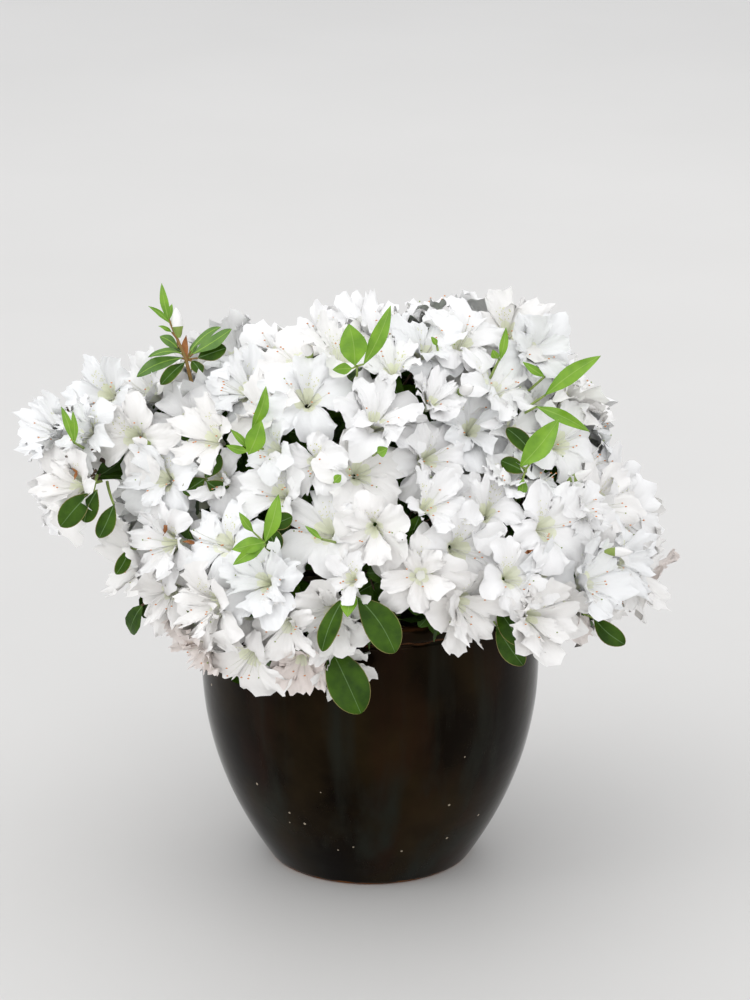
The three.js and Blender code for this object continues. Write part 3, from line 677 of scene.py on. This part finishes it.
def make_pieces(name, kind, material, replaced=()):
    for number, batch in enumerate(kind.batches()):
        piece = bpy.data.objects.new(f"{name}_{number}", make_mesh(f"{name}_{number}", batch))
        piece.data.materials.append(material)
        bpy.context.scene.collection.objects.link(piece)
        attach(piece, "root")
        if replaced:
            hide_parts(*replaced)


KINDS = {name: Kind(slot) for name, (slot, _) in LOOKS.items()}


def add_stem(kind, points, radii, sides):
    """A thin round stem through points, from one radius to another."""
    points = np.asarray(points, float)
    KINDS[kind].add(*sweep(points, np.linspace(*radii, len(points)), sides))


def petal_points(detail, angle, reach, lift, ruffle, half_angle, curl, tilt):
    """One petal in its flower's frame, for a radius of 1, and how far along and across it each point is."""
    s = (np.linspace(0, 1, detail.rows) ** PETAL.bunching)[:, None]
    rim = np.linspace(-1, 1, detail.columns)[None, :]
    v = np.sin(rim * math.pi / 2)
    phase = rng.random(PETAL.phases)

    def waves(rows):
        return sum(height * np.sin(TURN * (across * rim + along * s + phase[k]))
                   for k, across, along, height in rows)

    apex = rng.uniform(*PETAL.apex) * np.exp(-((v / PETAL.apex_width) ** 2))
    tip = 1 - rng.uniform(*PETAL.corners) * (1 - np.cos(rim * math.pi / 2)) + apex + waves(PETAL.frill)
    u = s * tip
    start, length = PETAL.opens
    opening = np.clip((u - start) / length, 0, 1)
    half = np.radians(PETAL.throat_half + (half_angle - PETAL.throat_half) * opening)
    edge = u ** 2 * (PETAL.middle + (1 - PETAL.middle) * np.maximum(np.abs(v) ** 2, s ** 4))
    height = bezier((*PETAL.rise, lift), u) + ruffle * edge * waves(PETAL.ruffle_up)
    height = height + ruffle * u * np.maximum(s ** 6, np.abs(v) ** 6) * waves(PETAL.crimp)
    height = height + (curl * v ** 2 + tilt * v) * u ** 2
    groove = np.exp(-((v / PETAL.groove_width) ** 2)) * np.sin(np.clip(u, 0, 1) * math.pi)
    height = height - PETAL.groove * groove + PETAL.ribs * u * np.sin(v * 9 + 3 * s)
    out = bezier(PETAL.out, u) * reach + ruffle * edge * waves(PETAL.ruffle_out)
    turn = angle + v * half + ruffle * u * edge * waves(PETAL.sway)
    return polar(out, turn, height), np.stack(np.broadcast_arrays((v + 1) / 2, s), axis=-1)


def add_petal(colour, detail, place, radius, points, uv):
    world = place(points * radius)
    for kind, rows in ((colour, slice(detail.throat, None)), ("throats", slice(detail.throat + 1))):
        part = world[rows]
        KINDS[kind].add(part, grid_faces(*part.shape[:2]), uv[rows])
    return world


def add_speckles(world, count=26, size=0.36, above=0.2):
    """Small spots on the upper petal, each a diamond just above its surface."""
    rows, columns = world.shape[:2]
    for _ in range(count):
        row = rng.integers(3, rows * 2 // 3)
        column = rng.integers(columns // 4, columns - columns // 4)
        corner, down, across = world[row, column], world[row + 1, column], world[row, column + 1]
        a, b = down - corner, across - corner
        centre = corner + a * rng.random() + b * rng.random() + unit(np.cross(a, b)) * above
        a, b = unit(a) * size * 1.5, unit(b) * size
        KINDS["speckles"].add([centre - a, centre - b, centre + a, centre + b], [[0, 1, 2, 3]])


OCTAHEDRON = np.array([[1, 0, 0], [-1, 0, 0], [0, 1, 0], [0, -1, 0], [0, 0, 1], [0, 0, -1]], float)
OCTAHEDRON_FACES = [[0, 2, 4], [2, 1, 4], [1, 3, 4], [3, 0, 4], [2, 0, 5], [1, 2, 5], [3, 1, 5], [0, 3, 5]]


def add_stamens(place, radius):
    """A few curved filaments with small anthers, and a greenish style among them."""
    for k in range(rng.integers(*STAMEN.counts)):
        style = k == 0
        side = math.pi + rng.uniform(-STAMEN.fan, STAMEN.fan)
        reach = STAMEN.style_reach if style else rng.uniform(*STAMEN.reach)
        direction = polar(1, side, 0)
        foot = direction * STAMEN.foot[0] - UP * STAMEN.foot[1]
        end = direction * reach + UP * rng.uniform(*STAMEN.rise) + [STAMEN.forward, 0, 0]
        middle = direction * (reach / 2) - UP * STAMEN.sag
        way = place(bezier((foot, middle, end), np.linspace(0, 1, 6)) * radius)
        add_stem("filaments", way, STAMEN.radii, STAMEN.sides)
        tip = OCTAHEDRON * (STYLE_TIP if style else ANTHER) + way[-1]
        KINDS["green_twigs" if style else "anthers"].add(tip, OCTAHEDRON_FACES)


def flower_place(face, axis, spin):
    """A function that carries points from a flower's frame, its upper petal first, to the plant's."""
    upwards = UP - axis * axis[2]
    if length_of(upwards) < 0.25:
        upwards = vec(0, 1, 0) - axis * axis[1]
    x = unit(upwards)
    y = np.cross(axis, x)
    x, y = x * math.cos(spin) + y * math.sin(spin), y * math.cos(spin) - x * math.sin(spin)
    basis = np.stack([x, y, axis])
    return lambda points: face + points @ basis


def petal_colour(f):
    chance = rng.random()
    # Low flowers that face sideways get painted shade with a painted warm reflection, those a little higher a
    # painted cream reflection, and the rest a tone dealt at random
    height = f.face[2] if f.axis[2] < SIDEWAYS else math.inf
    if height < PAINTED_WARM_SHADE.height and chance < PAINTED_WARM_SHADE.share:
        return "petals_painted_warm_shade"
    if height < PAINTED_CREAM_REFLECTION_HEIGHT:
        return "petals_cream"
    if chance < COOL_SHARE:
        return "petals_cool"
    return "petals_cream" if chance < CREAM_SHARE else "petals_white"


def add_flower(f, detail):
    radius = f.radius * FULLER
    mood = MOODS[rng.choice(len(MOODS), p=[m.share for m in MOODS])]
    axis = unit(f.axis + rng.normal(0, SWAY.lean, 3))
    if f.face[2] < DROOPING.height:
        axis = unit(axis - UP * DROOPING.by)
    place = flower_place(f.face, axis, rng.normal(0, SWAY.spin))
    colour = petal_colour(f)
    for k in range(FLOWER.lobes):
        lower = -math.cos(k * PETAL_STEP)
        reach = mood.reach * (1 + rng.uniform(*OUTER.reach) + OUTER.lower_reach * lower)
        lift = rng.uniform(*mood.lift) - OUTER.lower_lift * lower
        angle = k * PETAL_STEP + rng.normal(0, OUTER.turn)
        bends = [rng.uniform(*limits) for limits in (OUTER.ruffle, OUTER.half_angle, mood.curl, OUTER.tilt)]
        world = add_petal(colour, detail, place, radius, *petal_points(detail, angle, reach, lift, *bends))
        if k == 0 and detail is FULL:
            add_speckles(world)
    if detail is PLAIN:
        return
    if rng.random() < INNER_SHARE:
        for k in range(rng.integers(*INNER_COUNTS)):
            angle = (k + 0.5) * PETAL_STEP + rng.normal(0, INNER_TURN)
            points, uv = petal_points(detail, angle, *[rng.uniform(*limits) for limits in INNER.values()])
            points[..., 2] += INNER_RISE
            add_petal(colour, detail, place, radius, points, uv)
    add_stamens(place, radius)


def add_leaf(root, tip, facing_way, width, look, arch, rows=LEAF_ROWS, edged=False):
    """A leaf as a bent sheet, with a paler rib, and a thin pale edge where that is asked for."""
    style = LEAF_LOOKS[look]
    length = length_of(tip - root)
    t = np.sin(np.linspace(0, math.pi / 2, rows))[:, None]
    c = np.linspace(-1, 1, LEAF_COLUMNS)[None, :]
    rising = np.sin(math.pi / 2 * np.clip(t / style.widest, 0, 1)) ** style.rise
    past = np.clip((t - style.widest) / (1 - style.widest), 0, 1)
    half = np.maximum(width / 2 * rising * (1 - past ** style.fall) ** style.blunt, LEAST_HALF_WIDTH)
    x = c * half
    fold = rng.uniform(*style.fold)
    wavy = LEAF_WAVE.height * length * np.sin(TURN * (LEAF_WAVE.turns * t + rng.random())) * c ** 2
    sideways = rng.uniform(-LEAF_WAVE.sway, LEAF_WAVE.sway) * length * np.sin(math.pi * t)
    z = np.abs(x) * fold + 4 * arch * t * (1 - t) + wavy
    grid = np.stack([x + sideways, length * t + 0 * c, z], axis=-1)
    axes = leaf_frame((tip - root) / length, facing_way)

    def add(kind, points, uv=None):
        KINDS[kind].add(root + points @ axes.T, grid_faces(*points.shape[:2]), uv)

    add(style.kind, grid, np.stack([(c + 1) / 2 + 0 * t, t + 0 * c], axis=-1))
    if style.ribs:
        middle = grid[:-1, LEAF_COLUMNS // 2] + RIB.above * UP
        slim = np.linspace(*RIB.half_widths, rows - 1)[:, None] * [1, 0, 0]
        add(style.ribs, np.stack([middle - slim, middle + RIB.height * UP, middle + slim], axis=1))
    if edged:
        left, right = grid[:, 0] + EDGE.above * UP, grid[:, -1] + EDGE.above * UP
        inwards = vec(EDGE.width, 0, 0)
        add("leaf_edges", np.stack([left, left + inwards], axis=1))
        add("leaf_edges", np.stack([right - inwards, right], axis=1))


def add_whorl(i, base, axis, count, look, lean=WHORL.lean, lengths=WHORL.lengths):
    """Leaves round a shoot, below its flower, that stay in their mass and behind the petals."""
    turn = rng.random() * TURN
    for k in range(count):
        angle = turn + k * TURN / count + rng.normal(0, WHORL.turn)
        tilt = rng.uniform(*lean)
        along = frames_along(axis, angle) @ vec(math.sin(tilt), 0, math.cos(tilt))
        length = rng.uniform(*lengths)
        tip = base + along * length
        middle = (base + tip) / 2
        if within(tip, i) and clear_of_pot(middle) and under_blossom(np.array([tip, middle])):
            share = rng.uniform(*(WHORL.old_widths if look == "old" else WHORL.young_widths))
            add_leaf(base, tip, axis, share * length, look, rng.uniform(0, 4))


def within(point, i, margin=2):
    """Whether a point is within a mass's reach, clear of the pot."""
    return length_of(point - CENTRES[i]) < REACHES[i] + margin and clear_of_pot(point)


def under_blossom(points):
    """Whether points lie in no flower's funnel and before no flower's petals."""
    offset = points[:, None] - FACES
    rise = (offset * AXES).sum(-1)
    aside = np.sqrt(np.maximum((offset ** 2).sum(-1) - rise ** 2, 0))
    petals = -UNDER.behind * RADII - UNDER.over * np.maximum(RADII - aside, 0)
    return not ((aside < RADII) & (rise > petals) & (rise < RADII)).any()


def curved(way, bow):
    """A twig's way as a smooth curve through its middle point."""
    foot, middle, end = way
    control = 2 * middle - (foot + end) / 2 + unit(rng.normal(size=3)) * bow
    return bezier((foot, control, end), np.linspace(0, 1, 7))


def add_twig(way, bow):
    points = curved(way, bow)
    add_stem("twigs", points, (1.5, 0.8), 5)
    return points


def dress_flower(f, detail):
    """A flower with its stalk, its calyx, the leaves below it and the side twigs on its way."""
    add_flower(f, detail)
    way = f.way.copy()
    way[2] = f.face - f.axis * f.radius * STALK.foot
    points = add_twig(way, 3)
    add_stem("green_twigs", [points[-1], f.face - f.axis * f.radius * STALK.neck], STALK.radii, 6)
    add_whorl(f.mass, points[-1], f.axis, STALK.leaves, "old" if rng.random() < STALK.old_share else "mid")
    if detail is PLAIN:
        return
    for k in SIDE_TWIGS.at:
        side = unit(np.cross(f.axis, rng.normal(size=3)))
        tip = points[k] + side * rng.uniform(*SIDE_TWIGS.reach) + f.axis * SIDE_TWIGS.rise
        if within(tip, f.mass):
            add_stem("twigs", [points[k], tip], SIDE_TWIGS.radii, 4)
            add_whorl(f.mass, tip, side, SIDE_TWIGS.leaves, "old", **SIDE_WHORL)


def dress_spray(spray):
    """A leafy twig of the source's, its leaves a little shorter than the solids that stand for them."""
    add_twig(spray.way, 2)
    for leaf in spray.leaves:
        tip = leaf.root + leaf.along * leaf.length * SPRAY_LEAF.length_share
        if under_blossom(np.array([tip, (leaf.root + tip) / 2])) and not in_the_way(tip):
            arch = rng.uniform(*SPRAY_LEAF.arch)
            add_leaf(leaf.root, tip, leaf.up, leaf.length * SPRAY_LEAF.width_share, "old", arch)


def picture_point(right, up, out):
    return PICTURE_RIGHT * right + PICTURE_UP * up + TO_EYE * out


def crown_depth(right, up):
    """How far towards the eye the crown's front lies at a place in the picture, and whose mass it is."""
    offset = picture_point(right, up, 0) - CENTRES
    along = offset @ TO_EYE
    inside = REACHES ** 2 - (offset ** 2).sum(1) + along ** 2
    depth = np.where(inside > 0, np.sqrt(np.maximum(inside, 0)) - along, -np.inf)
    i = int(np.argmax(depth)) if (inside > 0).any() else int(np.argmax(inside))
    return max(depth[i], -along[i]), i


def depth_at(right, up, y):
    """How far towards the eye a place in the picture lies at a given y."""
    return (y - picture_point(right, up, 0)[1]) / TO_EYE[1]


def in_the_way(place, margin=OPEN_MARGIN):
    """Whether something at a place stands before what the photograph shows there."""
    for right, up, room, behind in KEPT_OPEN:
        across = vec(place @ PICTURE_RIGHT - right, place @ PICTURE_UP - up)
        nearer = place @ TO_EYE > depth_at(right, up, behind) - margin
        if nearer and length_of(across) < room:
            return True
    return False


def set_flower(right, up, lean, y):
    """A flower placed by the photograph's view, which leans towards it."""
    depth = crown_depth(right, up)[0] - SET_SINK if y is None else depth_at(right, up, y)
    face = picture_point(right, up, depth)
    axis = unit(face - CROWN_HEART + TO_EYE * lean)
    i = int(np.argmin(((CENTRES - face) ** 2).sum(1) - REACHES ** 2))
    way = twig_ways(i, face - axis * SET_RADIUS * FLOWER.twig_end)[0]
    return Named(face=face, axis=axis, radius=SET_RADIUS, way=way, mass=i)


def dress_shoot(shoot):
    """A shoot placed by the photograph's view: its twig from inside the crown, and its leaves."""
    right, up = np.mean([leaf[:2] for leaf in shoot.leaves], axis=0)
    depth, i = crown_depth(right, up)
    if shoot.y is not None:
        depth = depth_at(right, up, shoot.y)
    depth += shoot.out
    base = picture_point(right, up, depth)
    inner = (CENTRES[i] + base) / 2
    if not clear_of_pot(between(inner, base)).all():
        inner = base + UP * SHOOT.rise - TO_EYE * SHOOT.back
    add_stem("green_twigs", curved([inner, (inner + base) / 2, base], 1), SHOOT.stem_radii, 6)
    for r0, u0, r1, u1, width, stand, arch, look in shoot.leaves:
        root = picture_point(r0, u0, depth + rng.uniform(-1, 1))
        tip = picture_point(r1, u1, depth + stand)
        outwards = TO_EYE + rng.normal(0, SHOOT.twist, 3)
        add_leaf(root, tip, outwards, width, look, arch, NEAR_ROWS, look == "old")
        add_stem("green_twigs", [base, (base + root) / 2 - TO_EYE, root], SHOOT.stalk_radii, 5)


def add_bud(base, tip, width):
    """A closed bud: a green calyx round a furled white tip."""
    rows, sides, calyx = 9, 10, 3
    t = np.linspace(0, 1, rows)[:, None]
    angle = turns(sides)
    bulge = np.sin(math.pi * np.clip(t * 0.92 + 0.06, 0, 1)) ** 0.8
    radius = width / 2 * bulge * (1 + 0.12 * np.cos(5 * angle + 5 * t))
    grid = polar(radius, angle + 2 * t, t * length_of(tip - base))
    world = base + grid @ frames_along(unit(tip - base), np.float64(0)).T
    for kind, part in (("green_twigs", world[:calyx + 1]), ("petals_cream", world[calyx:])):
        KINDS[kind].add(part, grid_faces(len(part), sides, around=True))


def dress_sprig():
    """The leafy sprig that stands up at the upper left."""
    depth = depth_at(*SPRIG.stem[0], SPRIG.y)
    stem = np.array([picture_point(right, up, depth) for right, up in SPRIG.stem])
    add_stem("red_stems", stem, SPRIG.radii, 6)
    heart = CENTRES[SPRIG.mass]
    add_twig(heart + (stem[0] - heart) * [[0.5], [0.8], [1]], 1)
    for r0, u0, r1, u1, width, stand, arch, look in SPRIG.leaves:
        root = picture_point(r0, u0, depth)
        tip = picture_point(r1, u1, depth + stand)
        outwards = UP * SPRIG.upwards + TO_EYE * SPRIG.eyewards + rng.normal(0, SPRIG.twist, 3)
        add_leaf(root, tip, outwards, width, look, arch, NEAR_ROWS, look == "old")
        near = stem[np.argmin(length_of(stem - root))]
        add_stem("red_stems", [near - TO_EYE, root], SHOOT.stalk_radii, 5)
    r0, u0, r1, u1, width = SPRIG.bud
    add_bud(picture_point(r0, u0, depth + 2), picture_point(r1, u1, depth + 3), width)


all_flowers = []
all_sprays = []
for i in range(len(MASSES)):
    stream = random_stream(FIRST_SEED + SEED_STEP * i)
    flowers = place_flowers(i, stream)
    all_sprays += place_sprays(i, flowers, stream)
    all_flowers += flowers
set_flowers = [set_flower(*place) for place in SET_FLOWERS]
SET_FACES = np.array([f.face for f in set_flowers])


def keeps_clear(f):
    """Whether a flower keeps out of the open places and away from those that the photograph sets."""
    apart = (length_of(SET_FACES - f.face) > SET_RADIUS).all()
    return apart and not in_the_way(f.face)


all_flowers = [f for f in all_flowers if keeps_clear(f)] + set_flowers
all_flowers += [f for f in fill_between(all_flowers, FILL) if not in_the_way(f.face)]
shaded = [f for f in fill_between(all_flowers, SHADED) if not in_the_way(f.face, SHADED_MARGIN)]
FACES = np.array([f.face for f in all_flowers])
AXES = np.array([f.axis for f in all_flowers])
RADII = np.array([f.radius for f in all_flowers]) * FULLER
for f in all_flowers:
    dress_flower(f, FULL)
for f in shaded:
    dress_flower(f, PLAIN)
for spray in all_sprays:
    dress_spray(spray)
for shoot in SHOOTS:
    dress_shoot(shoot)
dress_sprig()
for right, up in WITHERED:
    root = picture_point(right, up, crown_depth(right, up)[0] - WITHER.sink)
    for _ in range(WITHER.each):
        way = unit(rng.normal(size=3) + TO_EYE)
        tip = root + way * rng.uniform(*WITHER.lengths)
        add_leaf(root, tip, TO_EYE, rng.uniform(*WITHER.widths), "withered", 1)
for right, up in BUDS:
    root = picture_point(right, up, crown_depth(right, up)[0] - BUD.sink)
    way = unit(unit(root - CROWN_HEART) + rng.normal(0, BUD.twist, 3))
    add_bud(root, root + way * rng.uniform(*BUD.lengths), rng.uniform(*BUD.widths))


def add_limb(way, radii, sides, depth):
    """A limb with furrowed bark."""
    angle = turns(sides)
    run = np.linspace(0, 1, len(way))[:, None]
    furrows = sum(size * np.sin(angle * around + bend * np.sin(run * along))
                  for size, around, bend, along in BARK.furrows)
    relief = 1 + depth * (furrows + rng.normal(0, BARK.grain, (len(way), sides)))
    KINDS["bark"].add(*sweep(way, radii[:, None] * relief, sides))


trunk_shares = np.linspace(0, 1, 34)
add_limb(trunk_point(trunk_shares), trunk_radius(trunk_shares), 36, 0.05)
for controls, centre in zip(BOUGHS, CENTRES):
    root, middle, tip = controls
    level = np.clip((root[2] - TRUNK_FOOT[2]) / TRUNK.height, 0, 1)
    way = np.concatenate([[trunk_point(level) * 0.6 + root * 0.4], bezier(controls, np.linspace(0, 1, 22))])
    add_limb(way, bough_radius(np.linspace(0, 1, len(way))), 12, 0.06)
    add_stem("bark", between(tip, centre, 5), (BOUGH.tip_radius, BOUGH.core_radius), 7)


def lathe(profile, sides):
    """A turned body's points and quads from its profile of radius and height."""
    profile = np.asarray(profile, float)
    return polar(profile[:, :1], turns(sides), profile[:, 1:]), grid_faces(len(profile), sides, around=True)


def inner_radius(z):
    return float(pot_radius(z)) - POT.wall


def pot_profile():
    """Flat foot, swelling wall, rolled lip and the wall's inside down to the floor."""
    outer_heights = np.linspace(POT.foot_chamfer, POT.neck_height - POT.ease, POT.steps)
    outer = [(float(pot_radius(z)), z) for z in outer_heights]
    lip_middle = (POT.neck_height + POT.height) / 2
    lip_half = (POT.height - POT.neck_height) / 2
    quarter = math.pi / 2
    lip = [(POT.lip_radius + POT.lip_bulge * (max(math.cos(t), 0) ** POT.lip_bluntness - 1),
            lip_middle + lip_half * math.sin(t)) for t in np.linspace(-quarter, quarter, POT.lip_steps)]
    mouth = POT.neck_radius - POT.wall
    rim = [(mouth + POT.mouth_round, POT.height), (mouth, POT.height - POT.ease)]
    inner = [(inner_radius(z), z) for z in np.linspace(POT.neck_height, POT.floor, POT.inner_steps)]
    return [(0, 0), (POT.foot_radius - POT.foot_chamfer, 0)] + outer + lip + rim + inner + [(0, POT.floor)]


def ripple(points, wavelength, count=7):
    """A smooth uneven field from -1 to 1 over points."""
    directions = unit(rng.normal(size=(count, 3))) * (TURN / wavelength)
    phases = rng.random(count) * TURN
    return np.sin(points @ directions.T + phases).mean(-1) * 1.8


def compost_shapes():
    """The crumbly top, and the body below it that fills the pot."""
    edge = inner_radius(COMPOST.edge_height) - 2 * GAP
    radius = edge * np.linspace(0, 1, COMPOST.rings)[:, None]
    slope = np.clip((radius - COMPOST.crest_radius) / (edge - COMPOST.crest_radius), 0, 1)
    height = COMPOST.height + (COMPOST.edge_height - COMPOST.height) * slope
    top = polar(radius, turns(COMPOST.sides), height)
    crumbs = sum(size * ripple(top, wavelength) for size, wavelength in COMPOST.crumbs)
    top[..., 2] += crumbs - COMPOST.sunk
    yield top, grid_faces(COMPOST.rings, COMPOST.sides, around=True)
    lowest = POT.floor + GAP
    side_heights = np.linspace(COMPOST.edge_height, POT.floor, 8)
    side = [(inner_radius(z) - 2 * GAP, max(z, lowest)) for z in side_heights]
    body, faces = lathe([(edge, top[-1, :, 2].mean())] + side + [(0, lowest)], COMPOST.sides)
    body[0] = top[-1]
    yield body, faces


pot = Kind("glaze")
pot.add(*lathe(pot_profile(), POT.sides))
for shape in compost_shapes():
    KINDS["compost_top"].add(*shape)


class Surface:
    """A material whose nodes are added one by one. Each call gives the new node's output."""

    def __init__(self, name):
        self.material = bpy.data.materials.new(name)
        self.material.use_nodes = True
        self.tree = self.material.node_tree
        where = self.tree.nodes.new("ShaderNodeTexCoord")
        self.place, self.along = where.outputs["Object"], where.outputs["UV"]

    def feed(self, node, values):
        """Sets a node's inputs to numbers and colours, or links other nodes' outputs to them."""
        for key, value in values.items():
            if isinstance(value, bpy.types.NodeSocket):
                self.tree.links.new(value, node.inputs[key])
            else:
                node.inputs[key].default_value = value

    def finish(self, **values):
        self.feed(self.tree.nodes["Principled BSDF"], {key.replace("_", " "): v for key, v in values.items()})
        return self.material

    def node(self, kind, output, values, **settings):
        added = self.tree.nodes.new("ShaderNode" + kind)
        for setting, value in settings.items():
            setattr(added, setting, value)
        self.feed(added, values)
        return added.outputs[output]

    def stretched(self, scale, vector):
        return self.node("Mapping", "Vector", {"Vector": vector, "Scale": scale})

    def noise(self, scale, detail=4, vector=None):
        values = {"Vector": vector or self.place, "Scale": scale, "Detail": detail}
        return self.node("TexNoise", "Fac", values)

    def spread(self, value, low, high, to_low=0, to_high=1):
        limits = {"From Min": low, "From Max": high, "To Min": to_low, "To Max": to_high}
        return self.node("MapRange", "Result", {"Value": value, **limits})

    def maths(self, operation, a, b=0):
        return self.node("Math", "Value", {0: a, 1: b}, operation=operation)

    def blend(self, factor, below, above):
        above = (*above, 1)
        below = (*below, 1) if isinstance(below, tuple) else below
        return self.node("Mix", "Result", {"Factor": factor, "A": below, "B": above}, data_type="RGBA")

    def bump(self, height, strength, distance):
        return self.node("Bump", "Normal", {"Height": height, "Strength": strength, "Distance": distance})


def mottled(name, light, dark, roughness, scale, bump=0.2, bump_scale=300, bump_distance=0.0004, veins=None,
            specular=0.5):
    """A surface between two near colours, with a fine relief or veins."""
    surface = Surface(name)
    colour = surface.blend(surface.spread(surface.noise(scale), 0.35, 0.65), dark, light)
    if veins is None:
        relief = surface.noise(bump_scale, 3)
    else:
        relief = surface.noise(1, 3, surface.stretched(veins, surface.along))
    normal = surface.bump(relief, bump, bump_distance)
    return surface.finish(Base_Color=colour, Roughness=roughness, Normal=normal, Specular_IOR_Level=specular)


# The glaze's colours, and the heights in metres of its lip, the groove below it and its bare foot
GLAZE = Named(thick=(0.0011, 0.0008, 0.0006), brown=(0.017, 0.0108, 0.0036), red=(0.015, 0.0052, 0.0028),
              streak=(0.0115, 0.0135, 0.0105), edge=(0.075, 0.030, 0.012), clay=(0.22, 0.085, 0.03),
              speck=(0.34, 0.29, 0.22), tint=(1, 0.7, 0.46, 1), lip=(0.2080, 0.2096), groove=0.1985,
              groove_fade=(0.0004, 0.0013), foot=(0.0012, 0.0024), wander=0.0022)


def glaze_material():
    """Near-black mottled glaze with specks, brown on the lip's top and along the groove below it, and bare
    clay at the foot.
    """
    glaze = Surface("glaze")
    height = glaze.node("SeparateXYZ", "Z", {"Vector": glaze.place})
    wander = glaze.maths("MULTIPLY", glaze.spread(glaze.noise(60), 0.3, 0.7, -0.5, 0.5), GLAZE.wander)
    height = glaze.maths("ADD", height, wander)
    colour = glaze.blend(glaze.spread(glaze.noise(13, 8), 0.42, 0.66), GLAZE.thick, GLAZE.brown)
    red = glaze.noise(7, 5, glaze.stretched((3, 3, 1), glaze.place))
    colour = glaze.blend(glaze.spread(red, 0.52, 0.7, 0, 0.8), colour, GLAZE.red)
    streaks = glaze.noise(9, 6, glaze.stretched((4, 4, 0.6), glaze.place))
    colour = glaze.blend(glaze.spread(streaks, 0.5, 0.68, 0, 0.9), colour, GLAZE.streak)
    from_groove = glaze.maths("ABSOLUTE", glaze.maths("SUBTRACT", height, GLAZE.groove))
    groove = glaze.maths("SUBTRACT", 1, glaze.spread(from_groove, *GLAZE.groove_fade))
    edges = glaze.maths("MAXIMUM", glaze.spread(height, *GLAZE.lip), groove)
    edges = glaze.maths("MULTIPLY", edges, glaze.spread(glaze.noise(35), 0.3, 0.6, 0.25, 1))
    colour = glaze.blend(edges, colour, GLAZE.edge)
    foot = glaze.maths("SUBTRACT", 1, glaze.spread(height, *GLAZE.foot))
    colour = glaze.blend(foot, colour, GLAZE.clay)
    cells = glaze.node("TexVoronoi", "Distance", {"Vector": glaze.place, "Scale": 90})
    rare = glaze.node("SeparateColor", "Red", {"Color": cells.node.outputs["Color"]})
    spots = glaze.maths("LESS_THAN", cells, 0.09)
    specks = glaze.maths("MULTIPLY", spots, glaze.maths("GREATER_THAN", rare, 0.86))
    colour = glaze.blend(specks, colour, GLAZE.speck)
    gloss = glaze.spread(glaze.noise(22, 6), 0.35, 0.7, 0.07, 0.22)
    rough = glaze.maths("MAXIMUM", gloss, glaze.maths("MULTIPLY", foot, 0.8))
    normal = glaze.bump(glaze.noise(26, 3, glaze.stretched((1, 1, 2.2), glaze.place)), 0.25, 0.0012)
    return glaze.finish(Base_Color=colour, Roughness=rough, Normal=normal, Specular_IOR_Level=0.075,
                        Specular_Tint=GLAZE.tint)


REPLACED = {
    "compost_top": ["compost"],
    "bark": ["trunk"] + [f"bough_{mass.name}" for mass in MASSES],
    "petals_white": [f"mass_{mass.name}" for mass in MASSES],
}
make_pieces("pot_glazed", pot, glaze_material(), ["pot"])
for name, kind in KINDS.items():
    make_pieces(name, kind, mottled(name, **LOOKS[name][1]), REPLACED.get(name, ()))

scene = bpy.context.scene
scene.view_settings.view_transform = "Standard"

# The floor, the sky and the lights, in metres
FLOOR_HALF = 12
SKY = Named(colour=(0.965, 0.975, 1, 1), strength=1)
SOFTBOXES = [
    Named(name="sky_above", place=(-0.8, -0.8, 2.4), size=(2.4, 2.4), power=8, colour=(1, 0.985, 0.96)),
    Named(name="front_fill", place=(0.5, -2.9, 1.5), size=(1.8, 1.4), power=9, colour=(1, 0.985, 0.965)),
    Named(name="window_left", place=(-2.3, -0.9, 1.1), size=(0.9, 1.6), power=8, colour=(0.98, 0.99, 1)),
    Named(name="sky_behind", place=(0.5, 1.9, 1.7), size=(2.0, 1.4), power=7, colour=(1, 0.99, 0.975)),
]
LIGHTS_AIM = Vector((0, 0, 0.2))

floor_mesh = bpy.data.meshes.new("floor")
floor_corners = [(x * FLOOR_HALF, y * FLOOR_HALF, 0) for x, y in ((-1, -1), (1, -1), (1, 1), (-1, 1))]
floor_mesh.from_pydata(floor_corners, [], [(0, 1, 2, 3)])
floor_mesh.materials.append(mottled("floor_paint", **FLOOR_LOOK))
floor = bpy.data.objects.new("floor", floor_mesh)
scene.collection.objects.link(floor)

world = bpy.data.worlds.new("soft_sky")
scene.world = world
world.use_nodes = True
background = world.node_tree.nodes["Background"]
background.inputs["Color"].default_value = SKY.colour
background.inputs["Strength"].default_value = SKY.strength


def add_aimed(name, data, place, aim):
    """A lamp or camera at a place, turned towards a point."""
    thing = bpy.data.objects.new(name, data)
    thing.location = place
    thing.rotation_euler = (aim - place).to_track_quat("-Z", "Y").to_euler()
    scene.collection.objects.link(thing)
    return thing


for box in SOFTBOXES:
    light = bpy.data.lights.new(box.name, "AREA")
    light.shape = "RECTANGLE"
    light.size, light.size_y = box.size
    light.energy = box.power
    light.color = box.colour
    add_aimed(box.name, light, Vector(box.place), LIGHTS_AIM)

camera = bpy.data.cameras.new("camera")
camera.lens = VIEW.lens
camera.sensor_width = VIEW.sensor
camera.clip_end = VIEW.farthest
aim = Vector(VIEW.aim) * MM
scene.camera = add_aimed("camera", camera, aim + Vector(TO_EYE) * VIEW.distance * MM, aim)
